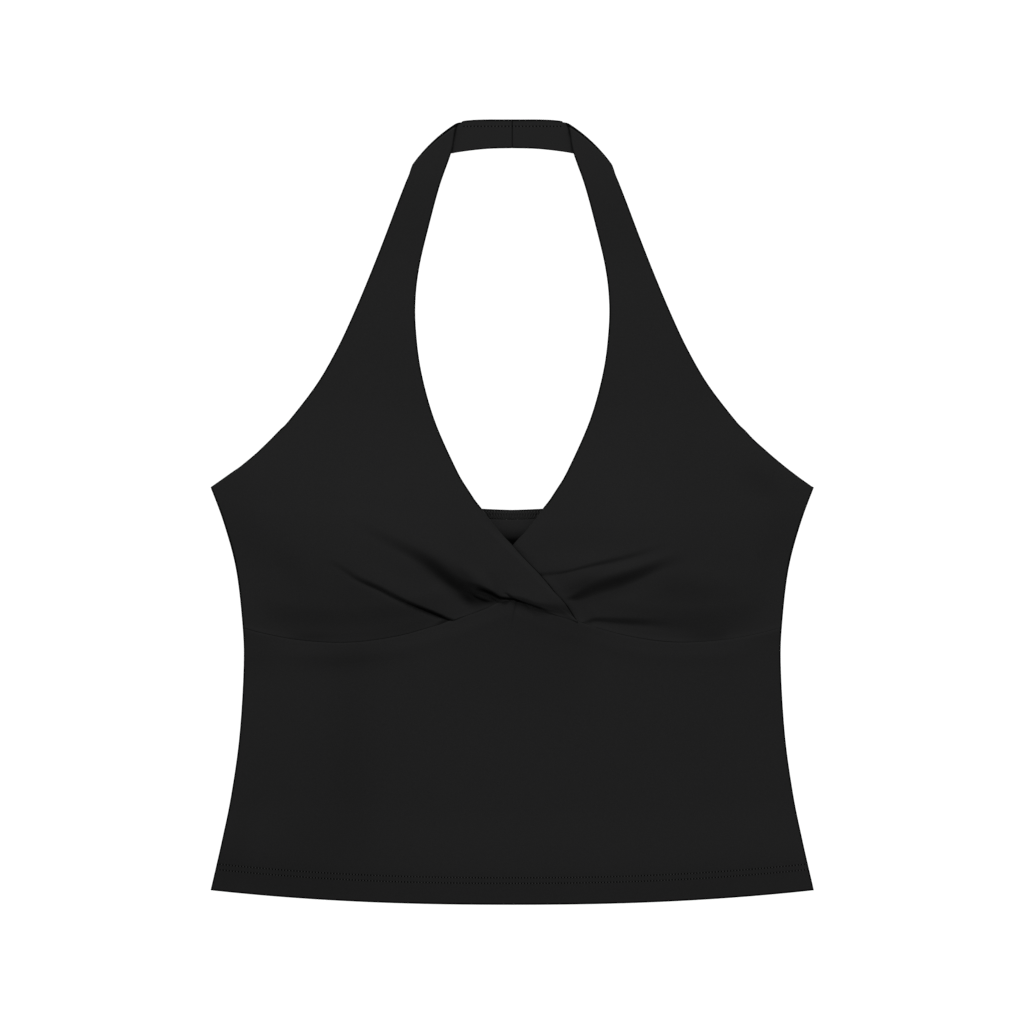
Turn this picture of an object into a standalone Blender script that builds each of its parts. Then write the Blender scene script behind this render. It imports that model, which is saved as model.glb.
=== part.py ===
"""A cropped halter neck top with a crossed, gathered bust, laid flat with its front up.

The frame is in metres with +Z up. X runs across the garment, and +X is the wearer's left.
Y runs from the hem to the neck. The origin is on the surface that the top lies on, under
the middle of its length and width.

The sizes below are in millimetres. A place on the cloth is given by how far it is across
(X) and up (from the lowest point of the hem, along Y), and its rise is how high it lies
(Z). The back panel lies on the surface, with an elastic band inside its top edge. The
midriff and the two fronts lie on the back. The right front crosses over the left one, and
each front runs on as a strap, which is folded over beside the neck and ends in a seam
behind it.
"""

import math
from collections import namedtuple

import bpy
import numpy as np

MILLIMETRE = 0.001

# Cloth
CLOTH = 1.0  # one layer of double knit
LINED = 1.6  # a front is cut double and turned out
HEMMED = 1.9
ELASTIC = 1.0
GAP = 0.3  # between pieces that touch or are sewn together
CROSSING_GAP = 0.6  # between the fronts where they cross, as both curve there

# Outline
LENGTH = 523.3  # from the lowest point of the hem to the top of the neck strap
HEM_HALF = 200.5
HEM_LIFT = 10.2  # how far the hem rises at each side seam
HEM_CURVE = 2.25
HEM_DEEP = 18.8  # turned up and stitched
BACK_TOP = 262.1  # top edge of the back at its middle
BACK_CURVE = 1.3
UNDERARM_UP = 277.5
BAND_WIDE = 6.6  # the elastic band inside the top edge of the back
BAND_INSET = 0.6
NECK_SEAM_GAP = GAP

# Strap fold beside the neck
FOLD_GAP = 0.6
FOLD_BULGE = 2.2
FOLD_TURN = (LINED + FOLD_GAP) / 2  # radius that the middle of the cloth turns about

# How the layers rest on each other: each change of height is spread over a distance
BAND_EASE = 46.0  # a front comes up onto the elastic
DROP_LONG = 70.0  # and down to the surface, past the back
STRAP_LIFT_UP = 420.0  # a strap comes up onto its own end from here
STRAP_LIFT_LONG = 66.0
HEM_EASE = 45.0  # the midriff comes down off the hems
COVER_EASE = 36.0  # the right front comes up onto the left one
KNOT_STEP = 5.0  # and beside the knot, below its first pleat, in a short step
COVER_PAST = 3.0  # that climb ends this far before the left one's hidden edge
COVER_FADE = 30.0  # and the crossing ends this far above the back

# How the cloth stands up
CROSSING_RISE = 2.4  # the crossed layers, off the back
CROSSING_UP = 222.0
CROSSING_WIDE = 42.0
CROSSING_TALL = 34.0
DOME_RISE = 4.2  # the fullness of each cup
DOME_ACROSS = 98.0
DOME_UP = 228.0
DOME_WIDE = 80.0
DOME_TALL = 46.0
DOME_OFF_SEAM = 24.0
DOME_OFF_SIDE = 26.0
BELLY_RISE = 1.2  # the midriff, off the back
BELLY_OFF_SIDE = 45.0
BELLY_OFF_HEM = 60.0
BELLY_OFF_SEAM = 12.0
PLEAT_GROWS = 0.55  # share of its length over which a pleat grows to its full height
PLEAT_AT_SEAM = 0.5  # share of it that is left at the underbust seam
PLEAT_OFF_SEAM = 10.0
PLEAT_ROOM = 1.1  # the right front clears the left one's pleats by this
PLEATS_END_UNDER = 14.0
MIDRIFF_FOLLOWS = 0.7  # how much of the fronts' rise the midriff takes up at their seam
MIDRIFF_EASE = 26.0
MIDRIFF_LIP = 9.0
CROSSING_CORNER = 40.0  # how far across the right front ends on the seam
CORNER_EASE = 20.0
ROUNDING = 0.5

SideSeam = namedtuple("SideSeam", "half up")
SIDE_SEAM = (
    SideSeam(200.5, 10.2),
    SideSeam(193.3, 42.8),
    SideSeam(186.9, 74.8),
    SideSeam(181.5, 114.8),
    SideSeam(178.9, 162.8),
    SideSeam(180.3, 194.8),
    SideSeam(184.9, 226.8),
    SideSeam(192.2, 254.8),
    SideSeam(199.8, 277.5),
)

UnderbustSeam = namedtuple("UnderbustSeam", "half up")
UNDERBUST_SEAM = (
    UnderbustSeam(0.0, 202.8),
    UnderbustSeam(8.0, 201.2),
    UnderbustSeam(17.0, 197.4),
    UnderbustSeam(31.0, 192.2),
    UnderbustSeam(52.0, 185.6),
    UnderbustSeam(75.0, 179.2),
    UnderbustSeam(100.0, 175.2),
    UnderbustSeam(122.0, 174.6),
    UnderbustSeam(145.0, 176.6),
    UnderbustSeam(166.0, 180.6),
    UnderbustSeam(179.6, 184.3),
)

# The gathered part of a front. A row runs from the side seam, through a middle place, to
# the underbust seam. The first row is the underbust seam, and the last is at the underarm.
Gather = namedtuple("Gather", "side_up middle_across middle_up seam_across")
RIGHT_GATHERS = (
    Gather(184.3, -115.0, 174.7, -50.0),
    Gather(212.0, -106.0, 214.0, -34.0),
    Gather(234.0, -102.0, 233.0, -18.0),
    Gather(256.0, -97.0, 249.0, 0.0),
    Gather(277.5, -84.0, 264.0, 43.9),
)
LEFT_GATHERS = (
    Gather(184.3, 115.0, 174.7, 60.0),
    Gather(206.0, 110.0, 197.0, 45.0),
    Gather(230.0, 108.0, 218.0, 30.0),
    Gather(254.0, 106.0, 236.0, 14.0),
    Gather(277.5, 100.0, 254.0, 0.0),
)

# The smooth part of a front above that. A row runs from the armhole edge, through a middle
# place, to the neckline edge.
Section = namedtuple("Section", "outer_across outer_up middle_across middle_up inner_across inner_up")
RIGHT_SECTIONS = (
    Section(-199.8, 277.5, -84.0, 264.0, 43.9, 188.8),
    Section(-191.0, 284.7, -84.0, 274.0, 35.6, 201.5),
    Section(-182.0, 291.7, -84.0, 283.0, 19.5, 220.3),
    Section(-172.0, 299.9, -86.0, 292.5, 0.8, 239.9),
    Section(-161.0, 309.9, -89.0, 303.0, -18.4, 262.8),
)
LEFT_SECTIONS = (
    Section(199.8, 277.5, 100.0, 254.0, 0.0, 203.0),
    Section(188.0, 287.0, 96.0, 268.0, -4.0, 222.0),
    Section(176.0, 296.6, 93.0, 282.0, 1.2, 240.4),
    Section(161.0, 309.9, 89.0, 303.0, 18.4, 262.8),
)

# From the meeting of the necklines to the fold, both fronts are alike.
Strap = namedtuple("Strap", "outer_half outer_up inner_half inner_up")
STRAP = (
    Strap(148.7, 322.8, 37.7, 290.8),
    Strap(130.4, 346.8, 51.8, 322.8),
    Strap(116.6, 370.8, 60.8, 354.8),
    Strap(105.4, 394.8, 64.6, 382.8),
    Strap(95.3, 418.8, 64.9, 404.8),
    Strap(85.8, 442.8, 62.1, 426.8),
    Strap(76.7, 466.8, 55.8, 452.8),
    Strap(71.4, 480.4, 48.6, 478.8),
    Strap(69.2, 485.6, 41.2, 500.8),
)
FoldCorner = namedtuple("FoldCorner", "half up")
FOLD_LOWER = FoldCorner(66.2, 493.6)
FOLD_UPPER = FoldCorner(33.4, 522.3)

# Behind the neck, from the fold to the centre back seam
Neck = namedtuple("Neck", "lower_half lower_up upper_half upper_up")
NECK = (
    Neck(50.0, 498.4, 24.0, 522.9),
    Neck(34.0, 501.7, 16.0, 523.2),
    Neck(17.0, 503.6, 8.0, 523.3),
    Neck(NECK_SEAM_GAP / 2, 504.1, NECK_SEAM_GAP / 2, 523.3),
)

# A pleat runs from far out in the cup to the centre. The cloth above it rolls over it, and
# the cloth below it sinks, over a width that changes from its far end to its near one.
Pleat = namedtuple("Pleat", "far middle near roll roll_wide sink sink_far sink_near step")
RIGHT_PLEATS = (
    Pleat((-100, 251.0), (-45.5, 226.8), (1, 203.0), 2.2, 14, 4.6, 5, 19, 6.5),
    Pleat((-118, 227.0), (-76, 205.2), (-36, 188.6), 2.2, 11, 2.6, 6, 10, 6.0),
)
LEFT_PLEATS = (
    Pleat((97, 236.8), (57, 228.0), (19, 219.3), 0.9, 9, 1.1, 4, 6, 6.0),
    Pleat((114, 232.5), (76, 218.0), (37, 203.8), 1.6, 9, 3.0, 6, 11, 8.0),
    Pleat((140, 185.5), (93, 190.5), (50, 187.6), 1.3, 10, 1.7, 6, 6, 7.0),
)
MIDRIFF_GATHERS = (
    Pleat((0, 178.0), (0.5, 189.0), (3, 202.5), 0.5, 3, 0.6, 2, 3, 3.0),
    Pleat((26, 186.0), (14, 193.0), (8, 201.0), 0.5, 3, 0.6, 2, 3, 3.0),
)
PLEAT_STEPS = 16

# Faces
GATHER_ROWS = 6  # from one row of the table to the next
SECTION_ROWS = 3
NECK_ROWS = 2
FOLD_ROWS = 6
CUP_COLUMNS = 28
INNER_DENSER = 0.5  # a front's columns are closer together towards the crossing
SHOULDER_COLUMNS = 12
STRAP_COLUMNS = 6
BODY_COLUMNS = 40
CENTRE_DENSER = 1.4  # and the body's are towards its middle
BODY_ROWS = 11
BAND_COLUMNS = 24

BLACK = (0.0144, 0.0144, 0.0144, 1.0)


def smooth(x):
    """0 below 0, 1 above 1, and an S-curve between."""
    x = np.clip(x, 0.0, 1.0)
    return x * x * (3.0 - 2.0 * x)


def smooth_max(a, b, width):
    """The higher of two values, rounded where they cross."""
    return (a + b + math.hypot(a - b, width)) / 2


def bump(distance, width):
    return math.exp(-((distance / width) ** 2))


def through_three(start, middle, end, share):
    """A place on the parabola through three places, at shares 0, 1/2 and 1."""
    start, middle, end = (np.array(place, float) for place in (start, middle, end))
    first, last = (1 - share) * (1 - 2 * share), share * (2 * share - 1)
    return start * first + middle * 4 * share * (1 - share) + end * last


def between_rows(table, place):
    """The table's columns at a place between its rows, on a smooth curve through them."""
    values = np.array(table, float)
    first = int(min(max(math.floor(place), 0), len(values) - 2))
    t = place - first
    start, end = values[first], values[first + 1]
    before = values[first - 1] if first > 0 else 2 * start - end
    after = values[first + 2] if first + 2 < len(values) else 2 * end - start
    straight = (1 - t) * start + t * end
    start_turn, end_turn = (2 * start - before - end) / 2, (2 * end - start - after) / 2
    return straight + t * (1 - t) * ((1 - t) * start_turn + t * end_turn)


def curve_through(table, steps=24):
    """A dense line of places on the smooth curve through a table's rows."""
    return np.array([between_rows(table, place) for place in places_in(table, steps, first=True)])


def places_in(table, steps, first=False):
    """Where the rows of faces lie in a table: this many from each of its rows to the next."""
    count = (len(table) - 1) * steps
    return [number / steps for number in range(0 if first else 1, count + 1)]


SIDE_LINE = curve_through(SIDE_SEAM)
SEAM_LINE = curve_through(UNDERBUST_SEAM)


def side_half(up):
    """Half the body's width at a height on the side seam."""
    return np.interp(up, SIDE_LINE[:, 1], SIDE_LINE[:, 0])


def seam_up(across):
    return np.interp(abs(across), SEAM_LINE[:, 0], SEAM_LINE[:, 1])


def hem_up(across):
    return HEM_LIFT * (abs(across) / HEM_HALF) ** HEM_CURVE


def back_top_up(across):
    end = SIDE_SEAM[-1]
    return BACK_TOP + (end.up - BACK_TOP) * (abs(across) / end.half) ** BACK_CURVE


def crossing_edge(up):
    """How far across the right front's crossing edge is at a height."""
    rows = RIGHT_SECTIONS
    return float(np.interp(up, [row.inner_up for row in rows], [row.inner_across for row in rows]))


def hidden_edge(up):
    """How far across the left front ends, under the right one."""
    rows = LEFT_SECTIONS[:3]
    return float(np.interp(up, [row.inner_up for row in rows], [row.inner_across for row in rows]))


def rest_rise(across, up):
    """Where a front's underside can lie: on the back, its elastic, the surface or the strap's end."""
    on_back = CLOTH + GAP
    on_band = on_back + ELASTIC + GAP
    past = up - back_top_up(across)
    onto_band = smooth((past + BAND_WIDE + BAND_EASE) / (BAND_EASE - 2.0))
    off_back = 1.0 - smooth((past - 1.0) / DROP_LONG)
    on_strap = (LINED + FOLD_GAP) * smooth((up - STRAP_LIFT_UP) / STRAP_LIFT_LONG)
    return (on_back + (on_band - on_back) * onto_band) * off_back + on_strap


def crossing_rise(across, up):
    """The crossed layers at the centre stand a little off the back."""
    return CROSSING_RISE * bump(across, CROSSING_WIDE) * bump(up - CROSSING_UP, CROSSING_TALL)


def dome_rise(side, across, up):
    """The fullness of a gathered cup, which ends at the underbust seam and the side seam."""
    dome = bump(across - side * DOME_ACROSS, DOME_WIDE) * bump(up - DOME_UP, DOME_TALL)
    off_seam = smooth((up - seam_up(across)) / DOME_OFF_SEAM)
    off_side = smooth((side_half(min(up, UNDERARM_UP)) - abs(across)) / DOME_OFF_SIDE)
    return DOME_RISE * dome * off_seam * off_side


def pleat_line(pleat):
    return np.array([through_three(*pleat[:3], share) for share in np.linspace(0, 1, PLEAT_STEPS)])


PLEAT_LINES = {pleat: pleat_line(pleat) for pleat in RIGHT_PLEATS + LEFT_PLEATS + MIDRIFF_GATHERS}


def pleat_place(pleat, across, up):
    """How far a place is above a pleat's line, and how far along the line it is, from 0 to 1."""
    line = PLEAT_LINES[pleat]
    legs = np.diff(line, axis=0)
    lengths = np.hypot(*legs.T)
    from_starts = np.array([across, up]) - line[:-1]
    shares = np.clip((from_starts * legs).sum(1) / lengths**2, 0.0, 1.0)
    offsets = from_starts - shares[:, None] * legs
    nearest = int(np.argmin(np.hypot(*offsets.T)))
    leg, offset = legs[nearest], offsets[nearest]
    uphill = (offset[1] * leg[0] - offset[0] * leg[1]) * np.sign(leg[0]) > 0
    above = math.hypot(*offset) * (1 if uphill else -1)
    return above, (lengths[:nearest].sum() + shares[nearest] * lengths[nearest]) / lengths.sum()


def pleat_rise(pleat, across, up):
    """What a pleat adds to the rise at a place: above 0 on its roll, below 0 where it sinks."""
    above, share = pleat_place(pleat, across, up)
    over = smooth(above / pleat.step + 0.5)
    sink_wide = pleat.sink_far + (pleat.sink_near - pleat.sink_far) * share
    roll = pleat.roll * over * bump(max(above, 0.0), pleat.roll_wide)
    sink = pleat.sink * (1 - over) * bump(min(above, 0.0), sink_wide)
    return smooth(share / PLEAT_GROWS) * (roll - sink)


def pleats_rise(pleats, across, up):
    """What a front's pleats add together. They are flatter at the underbust seam."""
    off_seam = smooth((up - seam_up(across)) / PLEAT_OFF_SEAM)
    held = PLEAT_AT_SEAM + (1 - PLEAT_AT_SEAM) * off_seam
    return held * sum(pleat_rise(pleat, across, up) for pleat in pleats)


def left_own_rise(across, up):
    """How far the left front stands above what it rests on. Its pleats end under the right front."""
    shown = 1.0 - smooth((crossing_edge(up) - across) / PLEATS_END_UNDER)
    raised = dome_rise(1, across, up) + shown * pleats_rise(LEFT_PLEATS, across, up)
    return smooth_max(raised, 0.0, ROUNDING) + crossing_rise(across, up)


def right_own_rise(across, up):
    """How far the right front stands above what it rests on, which is the left one where they cross."""
    raised = dome_rise(-1, across, up) + crossing_rise(across, up) + pleats_rise(RIGHT_PLEATS, across, up)
    past_hidden = across - hidden_edge(up)
    above_pleat, _ = pleat_place(RIGHT_PLEATS[0], across, up)
    ease = KNOT_STEP + (COVER_EASE - KNOT_STEP) * smooth(above_pleat / RIGHT_PLEATS[0].roll_wide + 0.5)
    covers = smooth(1 + (past_hidden + COVER_PAST) / ease) * (1 - smooth((up - BACK_TOP) / COVER_FADE))
    left = dome_rise(1, across, up) + crossing_rise(across, up) + LINED + CROSSING_GAP
    ruffled = PLEAT_ROOM * smooth(past_hidden / DOME_OFF_SEAM)
    return smooth_max(smooth_max(raised, 0.0, ROUNDING), covers * (left + ruffled), ROUNDING)


def left_rise(across, up):
    return rest_rise(across, up) + left_own_rise(across, up)


def right_rise(across, up):
    return rest_rise(across, up) + right_own_rise(across, up)


def midriff_top(across, up):
    """The midriff lies on the back, over both hems, and is drawn up to the fronts at their seam."""
    on_hems = 2 * (HEMMED - CLOTH) * (1 - smooth((up - hem_up(across) - HEM_DEEP) / HEM_EASE))
    below_seam = seam_up(across) - up
    off_side = smooth((side_half(up) - abs(across)) / BELLY_OFF_SIDE)
    off_hem = smooth((up - hem_up(across)) / BELLY_OFF_HEM)
    belly = BELLY_RISE * off_side * off_hem * smooth(below_seam / BELLY_OFF_SEAM)
    past_corner = smooth((across - CROSSING_CORNER) / CORNER_EASE + 0.5)
    fronts = (1 - past_corner) * right_own_rise(across, seam_up(across))
    fronts += past_corner * left_own_rise(across, seam_up(across))
    drawn = MIDRIFF_FOLLOWS * fronts * (1 - smooth(below_seam / MIDRIFF_EASE))
    lip = (LINED - CLOTH) * bump(below_seam, MIDRIFF_LIP)
    gathers = sum(pleat_rise(gather, across, up) for gather in MIDRIFF_GATHERS)
    return CLOTH + GAP + CLOTH + on_hems + smooth_max(belly + drawn + lip + gathers, 0.0, ROUNDING)


def surface_normal(rise, across, up, step=0.5):
    slope_across = (rise(across + step, up) - rise(across - step, up)) / (2 * step)
    slope_up = (rise(across, up + step) - rise(across, up - step)) / (2 * step)
    length = math.sqrt(slope_across**2 + slope_up**2 + 1.0)
    return -slope_across / length, -slope_up / length, 1.0 / length


def bridge(first, second):
    """Triangles from one row of points to the next, which may have another number of points."""
    i, j = 0, 0
    while i < len(first) - 1 or j < len(second) - 1:
        next_i, next_j = (i + 1) / (len(first) - 1), (j + 1) / (len(second) - 1)
        if next_i <= min(next_j, 1.0):
            yield first[i], first[i + 1], second[j]
            i += 1
        else:
            yield first[i], second[j + 1], second[j]
            j += 1


class Wall:
    """A closed wall of cloth, built from rows of places. Each row is its outer and inner points."""

    def __init__(self, name, mirrored=False):
        self.name = name
        self.mirrored = mirrored  # its rows run from +X to -X
        self.points = []
        self.rows = []

    def add_row(self, middles, normals, thick):
        """Adds a row from points in the middle of the wall and the unit normals there."""
        middles, half = np.array(middles, float), np.array(normals, float) * thick / 2
        start, count = len(self.points), len(middles)
        self.points += [*(middles + half), *(middles - half)]
        self.rows.append((range(start, start + count), range(start + count, start + 2 * count)))

    def lay_row(self, places, rise, thick, upright=False):
        """Adds a row whose underside lies at its rise. An upright row is an edge, cut square."""
        middles = [(across, up, rise(across, up) + thick / 2) for across, up in places]
        normals = [surface_normal(rise, across, up) for across, up in places]
        normals[0] = normals[-1] = (0.0, 0.0, 1.0)
        self.add_row(middles, [(0.0, 0.0, 1.0)] * len(places) if upright else normals, thick)

    def faces(self):
        """Joins the rows into one closed surface."""
        faces = []
        for (outer, inner), (next_outer, next_inner) in zip(self.rows, self.rows[1:]):
            faces += bridge(outer, next_outer)
            faces += [face[::-1] for face in bridge(inner, next_inner)]
            faces.append((outer[0], next_outer[0], next_inner[0], inner[0]))
            faces.append((inner[-1], next_inner[-1], next_outer[-1], outer[-1]))
        first_outer, first_inner = self.rows[0]
        last_outer, last_inner = self.rows[-1]
        for i, j in zip(range(len(first_outer)), range(1, len(first_outer))):
            faces.append((first_outer[j], first_outer[i], first_inner[i], first_inner[j]))
        for i, j in zip(range(len(last_outer)), range(1, len(last_outer))):
            faces.append((last_outer[i], last_outer[j], last_inner[j], last_inner[i]))
        return [face[::-1] for face in faces] if self.mirrored else faces

    def build(self, finish):
        points = np.array(self.points) - (0.0, LENGTH / 2, 0.0)
        mesh = bpy.data.meshes.new(self.name)
        mesh.from_pydata((points * MILLIMETRE).tolist(), [], self.faces())
        mesh.materials.append(finish)
        mesh.shade_smooth()
        mesh.set_sharp_from_angle(angle=math.radians(50))
        bpy.context.scene.collection.objects.link(bpy.data.objects.new(self.name, mesh))


def gather_row(side, table, place, shares):
    """Places from the side seam to the underbust seam, on one row of a front's gathered part."""
    side_up, middle_across, middle_up, seam_across = between_rows(table, place)
    outer = (side * side_half(side_up), side_up + (GAP / 2 if place == 0 else 0.0))
    inner = (seam_across, seam_up(seam_across) + GAP / 2)
    return np.array([through_three(outer, (middle_across, middle_up), inner, s) for s in shares])


def gather_rows(side, table, shares):
    """All those rows. The first follows the underbust seam, and the next ones ease away from it."""
    lowest = gather_row(side, table, 0.0, shares)
    to_seam = np.array([(0.0, seam_up(across) + GAP / 2 - up) for across, up in lowest])
    for place in places_in(table, GATHER_ROWS, first=True):
        yield gather_row(side, table, place, shares) + to_seam * max(0.0, 1 - place) ** 2


def strap_fold(side):
    """The line that the strap turns about, and the directions along it and away from the garment."""
    lower, upper = (np.array([side * corner.half, corner.up]) for corner in (FOLD_LOWER, FOLD_UPPER))
    along = (upper - lower) / np.hypot(*(upper - lower))
    away = np.array([side * abs(along[1]), abs(along[0])])
    return lower, upper, along, away


def strap_slants(side):
    """How much each edge of the strap moves along the fold while it turns once about it."""
    lower, upper, along, away = strap_fold(side)
    before = STRAP[-1]
    slants = []
    for corner, edge in (
        (lower, (side * before.outer_half, before.outer_up)),
        (upper, (side * before.inner_half, before.inner_up)),
    ):
        direction = corner - np.array(edge)
        slants.append(float(direction @ along) / float(direction @ away))
    return slants


def turned_row(side, angle, shares):
    """Middle points and normals of the strap, turned by an angle about its fold."""
    lower, upper, along, away = strap_fold(side)
    lower_slant, upper_slant = strap_slants(side)
    middles, normals = [], []
    for share in shares:
        slant = lower_slant + (upper_slant - lower_slant) * share
        bulge = FOLD_BULGE * 4 * share * (1 - share)
        place = lower + (upper - lower) * share + away * (bulge - FOLD_TURN - LINED / 2)
        place = place + along * slant * FOLD_TURN * (angle - math.pi / 2) + away * FOLD_TURN * math.sin(angle)
        middles.append((*place, LINED / 2 + FOLD_TURN * (1 + math.cos(angle))))
        normals.append((*(away * math.sin(angle)), math.cos(angle)))
    return middles, normals


def sections_of(side, own_sections):
    """All the rows of a front above its gathers, up to where its strap starts to turn."""
    places = [(s.outer_half, s.outer_up, s.inner_half, s.inner_up) for s in STRAP]
    start = turned_row(side, 0.0, (0.0, 1.0))[0]
    places.append((abs(start[0][0]), start[0][1], abs(start[1][0]), start[1][1]))
    strap = [
        Section(side * oh, ou, side * (oh + ih) / 2, (ou + iu) / 2, side * ih, iu) for oh, ou, ih, iu in places
    ]
    return [*own_sections, *strap]


def front(name, side, gathers, own_sections, rise, finish):
    """A front in one piece: gathered cup, strap, fold beside the neck, and its end behind it."""
    wall = Wall(name, mirrored=side > 0)
    even = np.linspace(0, 1, CUP_COLUMNS + 1)
    cup = even + INNER_DENSER * even * (1 - even)
    for number, row in enumerate(gather_rows(side, gathers, cup)):
        wall.lay_row(row, rise, LINED, upright=number == 0)

    sections = sections_of(side, own_sections)
    strap_start = len(own_sections)
    for place in places_in(sections, SECTION_ROWS):
        shares = cup
        if place >= strap_start:
            shares = np.linspace(0, 1, (STRAP_COLUMNS if place > strap_start + 1 else SHOULDER_COLUMNS) + 1)
        values = between_rows(sections, place)
        row = np.array([through_three(values[0:2], values[2:4], values[4:6], share) for share in shares])
        to_fold = smooth((place - (len(sections) - 3)) / 2.0)
        away = strap_fold(side)[3]
        row += away * (to_fold * FOLD_BULGE * 4 * shares * (1 - shares))[:, None]
        wall.lay_row(row, rise, LINED, upright=place > strap_start)

    strap = np.linspace(0, 1, STRAP_COLUMNS + 1)
    for number in range(1, FOLD_ROWS + 1):
        middles, normals = turned_row(side, math.pi * number / FOLD_ROWS, strap)
        wall.add_row(middles, normals, LINED)
    (lower_x, lower_up, _), (upper_x, upper_up, _) = middles[0], middles[-1]
    neck = [Neck(abs(lower_x), lower_up, abs(upper_x), upper_up), *NECK]
    for place in places_in(neck, NECK_ROWS):
        lower_half, lower_up, upper_half, upper_up = between_rows(neck, place)
        lower, upper = np.array([side * lower_half, lower_up]), np.array([side * upper_half, upper_up])
        middles = [(*(lower + (upper - lower) * share), LINED / 2) for share in strap]
        wall.add_row(middles, [(0.0, 0.0, -1.0)] * len(middles), LINED)
    wall.build(finish)


def body_row(share, top, top_end):
    """Places across the body, part of the way from the hem to a top edge."""
    side_up = HEM_LIFT + (top_end - HEM_LIFT) * share
    top_half = side_half(top_end)
    row = []
    for even in np.linspace(-1, 1, BODY_COLUMNS + 1):
        across = math.copysign(abs(even) ** CENTRE_DENSER, even)
        up = (1 - share) * hem_up(across * HEM_HALF) + share * top(across * top_half)
        row.append((across * side_half(side_up), up))
    return row


def body_shares(height):
    """Rows from the hem up, with two close together where the hem's turning ends."""
    turned = HEM_DEEP / height
    step = 1.5 / height
    return [0.0, turned, *np.linspace(turned + step, 1.0, BODY_ROWS)], turned


def midriff(finish):
    """The lower front, from the hem to the underbust seam."""
    wall = Wall("midriff_front")
    end = UNDERBUST_SEAM[-1].up
    shares, turned = body_shares(end)
    for share in shares:
        thick = HEMMED if share <= turned else CLOTH
        row = body_row(share, lambda across: seam_up(across) - GAP / 2, end)
        wall.lay_row(row, lambda a, u, thick=thick: midriff_top(a, u) - thick, thick, upright=share in (0.0, 1.0))
    wall.build(finish)


def back(finish):
    """The back panel, flat on the surface, with its hem turned up on the inside."""
    wall = Wall("back_panel")
    shares, turned = body_shares(UNDERARM_UP)
    for share in shares:
        thick = HEMMED if share <= turned else CLOTH
        wall.lay_row(body_row(share, back_top_up, UNDERARM_UP), lambda across, up: 0.0, thick)
    wall.build(finish)


def back_band(finish):
    """The elastic band inside the top edge of the back."""
    wall = Wall("back_elastic_band")
    half = side_half(UNDERARM_UP - BAND_WIDE) - BAND_INSET
    for inset in (BAND_WIDE, BAND_INSET):
        row = [(across, back_top_up(across) - inset) for across in np.linspace(-half, half, BAND_COLUMNS + 1)]
        wall.lay_row(row, lambda across, up: CLOTH + GAP, ELASTIC)
    wall.build(finish)


def black_cloth(name, roughness):
    finish = bpy.data.materials.new(name)
    finish.use_nodes = True
    shader = finish.node_tree.nodes["Principled BSDF"]
    shader.inputs["Base Color"].default_value = BLACK
    shader.inputs["Roughness"].default_value = roughness
    shader.inputs["Metallic"].default_value = 0.0
    return finish


def main():
    for thing in list(bpy.data.objects):
        bpy.data.objects.remove(thing)
    knit = black_cloth("black_double_knit", 0.85)
    back(knit)
    back_band(black_cloth("black_elastic", 0.7))
    midriff(knit)
    front("left_front", 1, LEFT_GATHERS, LEFT_SECTIONS, left_rise, knit)
    front("right_front", -1, RIGHT_GATHERS, RIGHT_SECTIONS, right_rise, knit)


main()
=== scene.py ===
"""The looks of a cropped halter neck top with a crossed, gathered bust, laid flat with its front up.

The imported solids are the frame: metres, +Z up, +X to the wearer's left, Y from the hem to the neck.
Sizes are in millimetres. A place on the cloth is how far it is across (X) and up (from the lowest
point of the hem, along Y), and its rise is how high it lies (Z). Each solid is replaced by a shell of
cloth on the same form, with its creases, its rolled rims and its sewing.
"""

from __future__ import annotations

import logging
import math
from dataclasses import dataclass, field
from enum import Enum
from functools import cached_property
from typing import Callable, NamedTuple, Sequence, TypeVar

import bpy
import numpy as np
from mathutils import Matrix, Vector


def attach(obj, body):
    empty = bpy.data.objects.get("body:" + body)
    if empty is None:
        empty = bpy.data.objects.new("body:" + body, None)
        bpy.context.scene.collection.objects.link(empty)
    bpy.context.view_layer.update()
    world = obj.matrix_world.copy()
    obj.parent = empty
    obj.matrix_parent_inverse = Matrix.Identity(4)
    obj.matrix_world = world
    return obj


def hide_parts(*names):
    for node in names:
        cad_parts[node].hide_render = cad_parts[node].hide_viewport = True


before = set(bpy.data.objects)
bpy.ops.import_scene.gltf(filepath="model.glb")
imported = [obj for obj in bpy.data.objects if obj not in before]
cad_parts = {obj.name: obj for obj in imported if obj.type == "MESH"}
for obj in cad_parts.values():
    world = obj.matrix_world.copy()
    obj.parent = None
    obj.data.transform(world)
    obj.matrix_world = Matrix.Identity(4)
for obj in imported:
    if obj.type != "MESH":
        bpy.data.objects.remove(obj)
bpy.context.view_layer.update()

LOG = logging.getLogger("halter_top")
MM = 0.001
SLANT = math.sqrt(0.5)  # of the crossing edge, which runs at 45 degrees
HEM_ROWS = (14.3, 18.0)  # how far above the edge the hem is sewn
RIM_STEPS = (0.0, 0.06, 0.22, 0.5, 0.8, 1.1, 1.7)
BORDERS = (np.s_[0, :], np.s_[-1, :], np.s_[:, 0], np.s_[:, -1])

Field = np.ndarray
Row = tuple[float, ...]
Table = tuple[Row, ...]
Kind = TypeVar("Kind")
Rise = Callable[[Field, Field], Field]
Piece = bpy.types.Object
Material = bpy.types.Material


def smooth(x: Field) -> Field:
    """Returns 0 below 0, 1 above 1, and an S-curve between."""
    x = np.clip(x, 0.0, 1.0)
    return x * x * (3.0 - 2.0 * x)


def bump(distance: Field, width: float | Field) -> Field:
    """Returns a bell that is 1 at no distance and fades over a width."""
    return np.exp(-((distance / width) ** 2))


def higher(a: Field, b: float | Field, width: float) -> Field:
    """Returns the higher of two values, rounded where they cross."""
    return (a + b + np.hypot(a - b, width)) / 2


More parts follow.
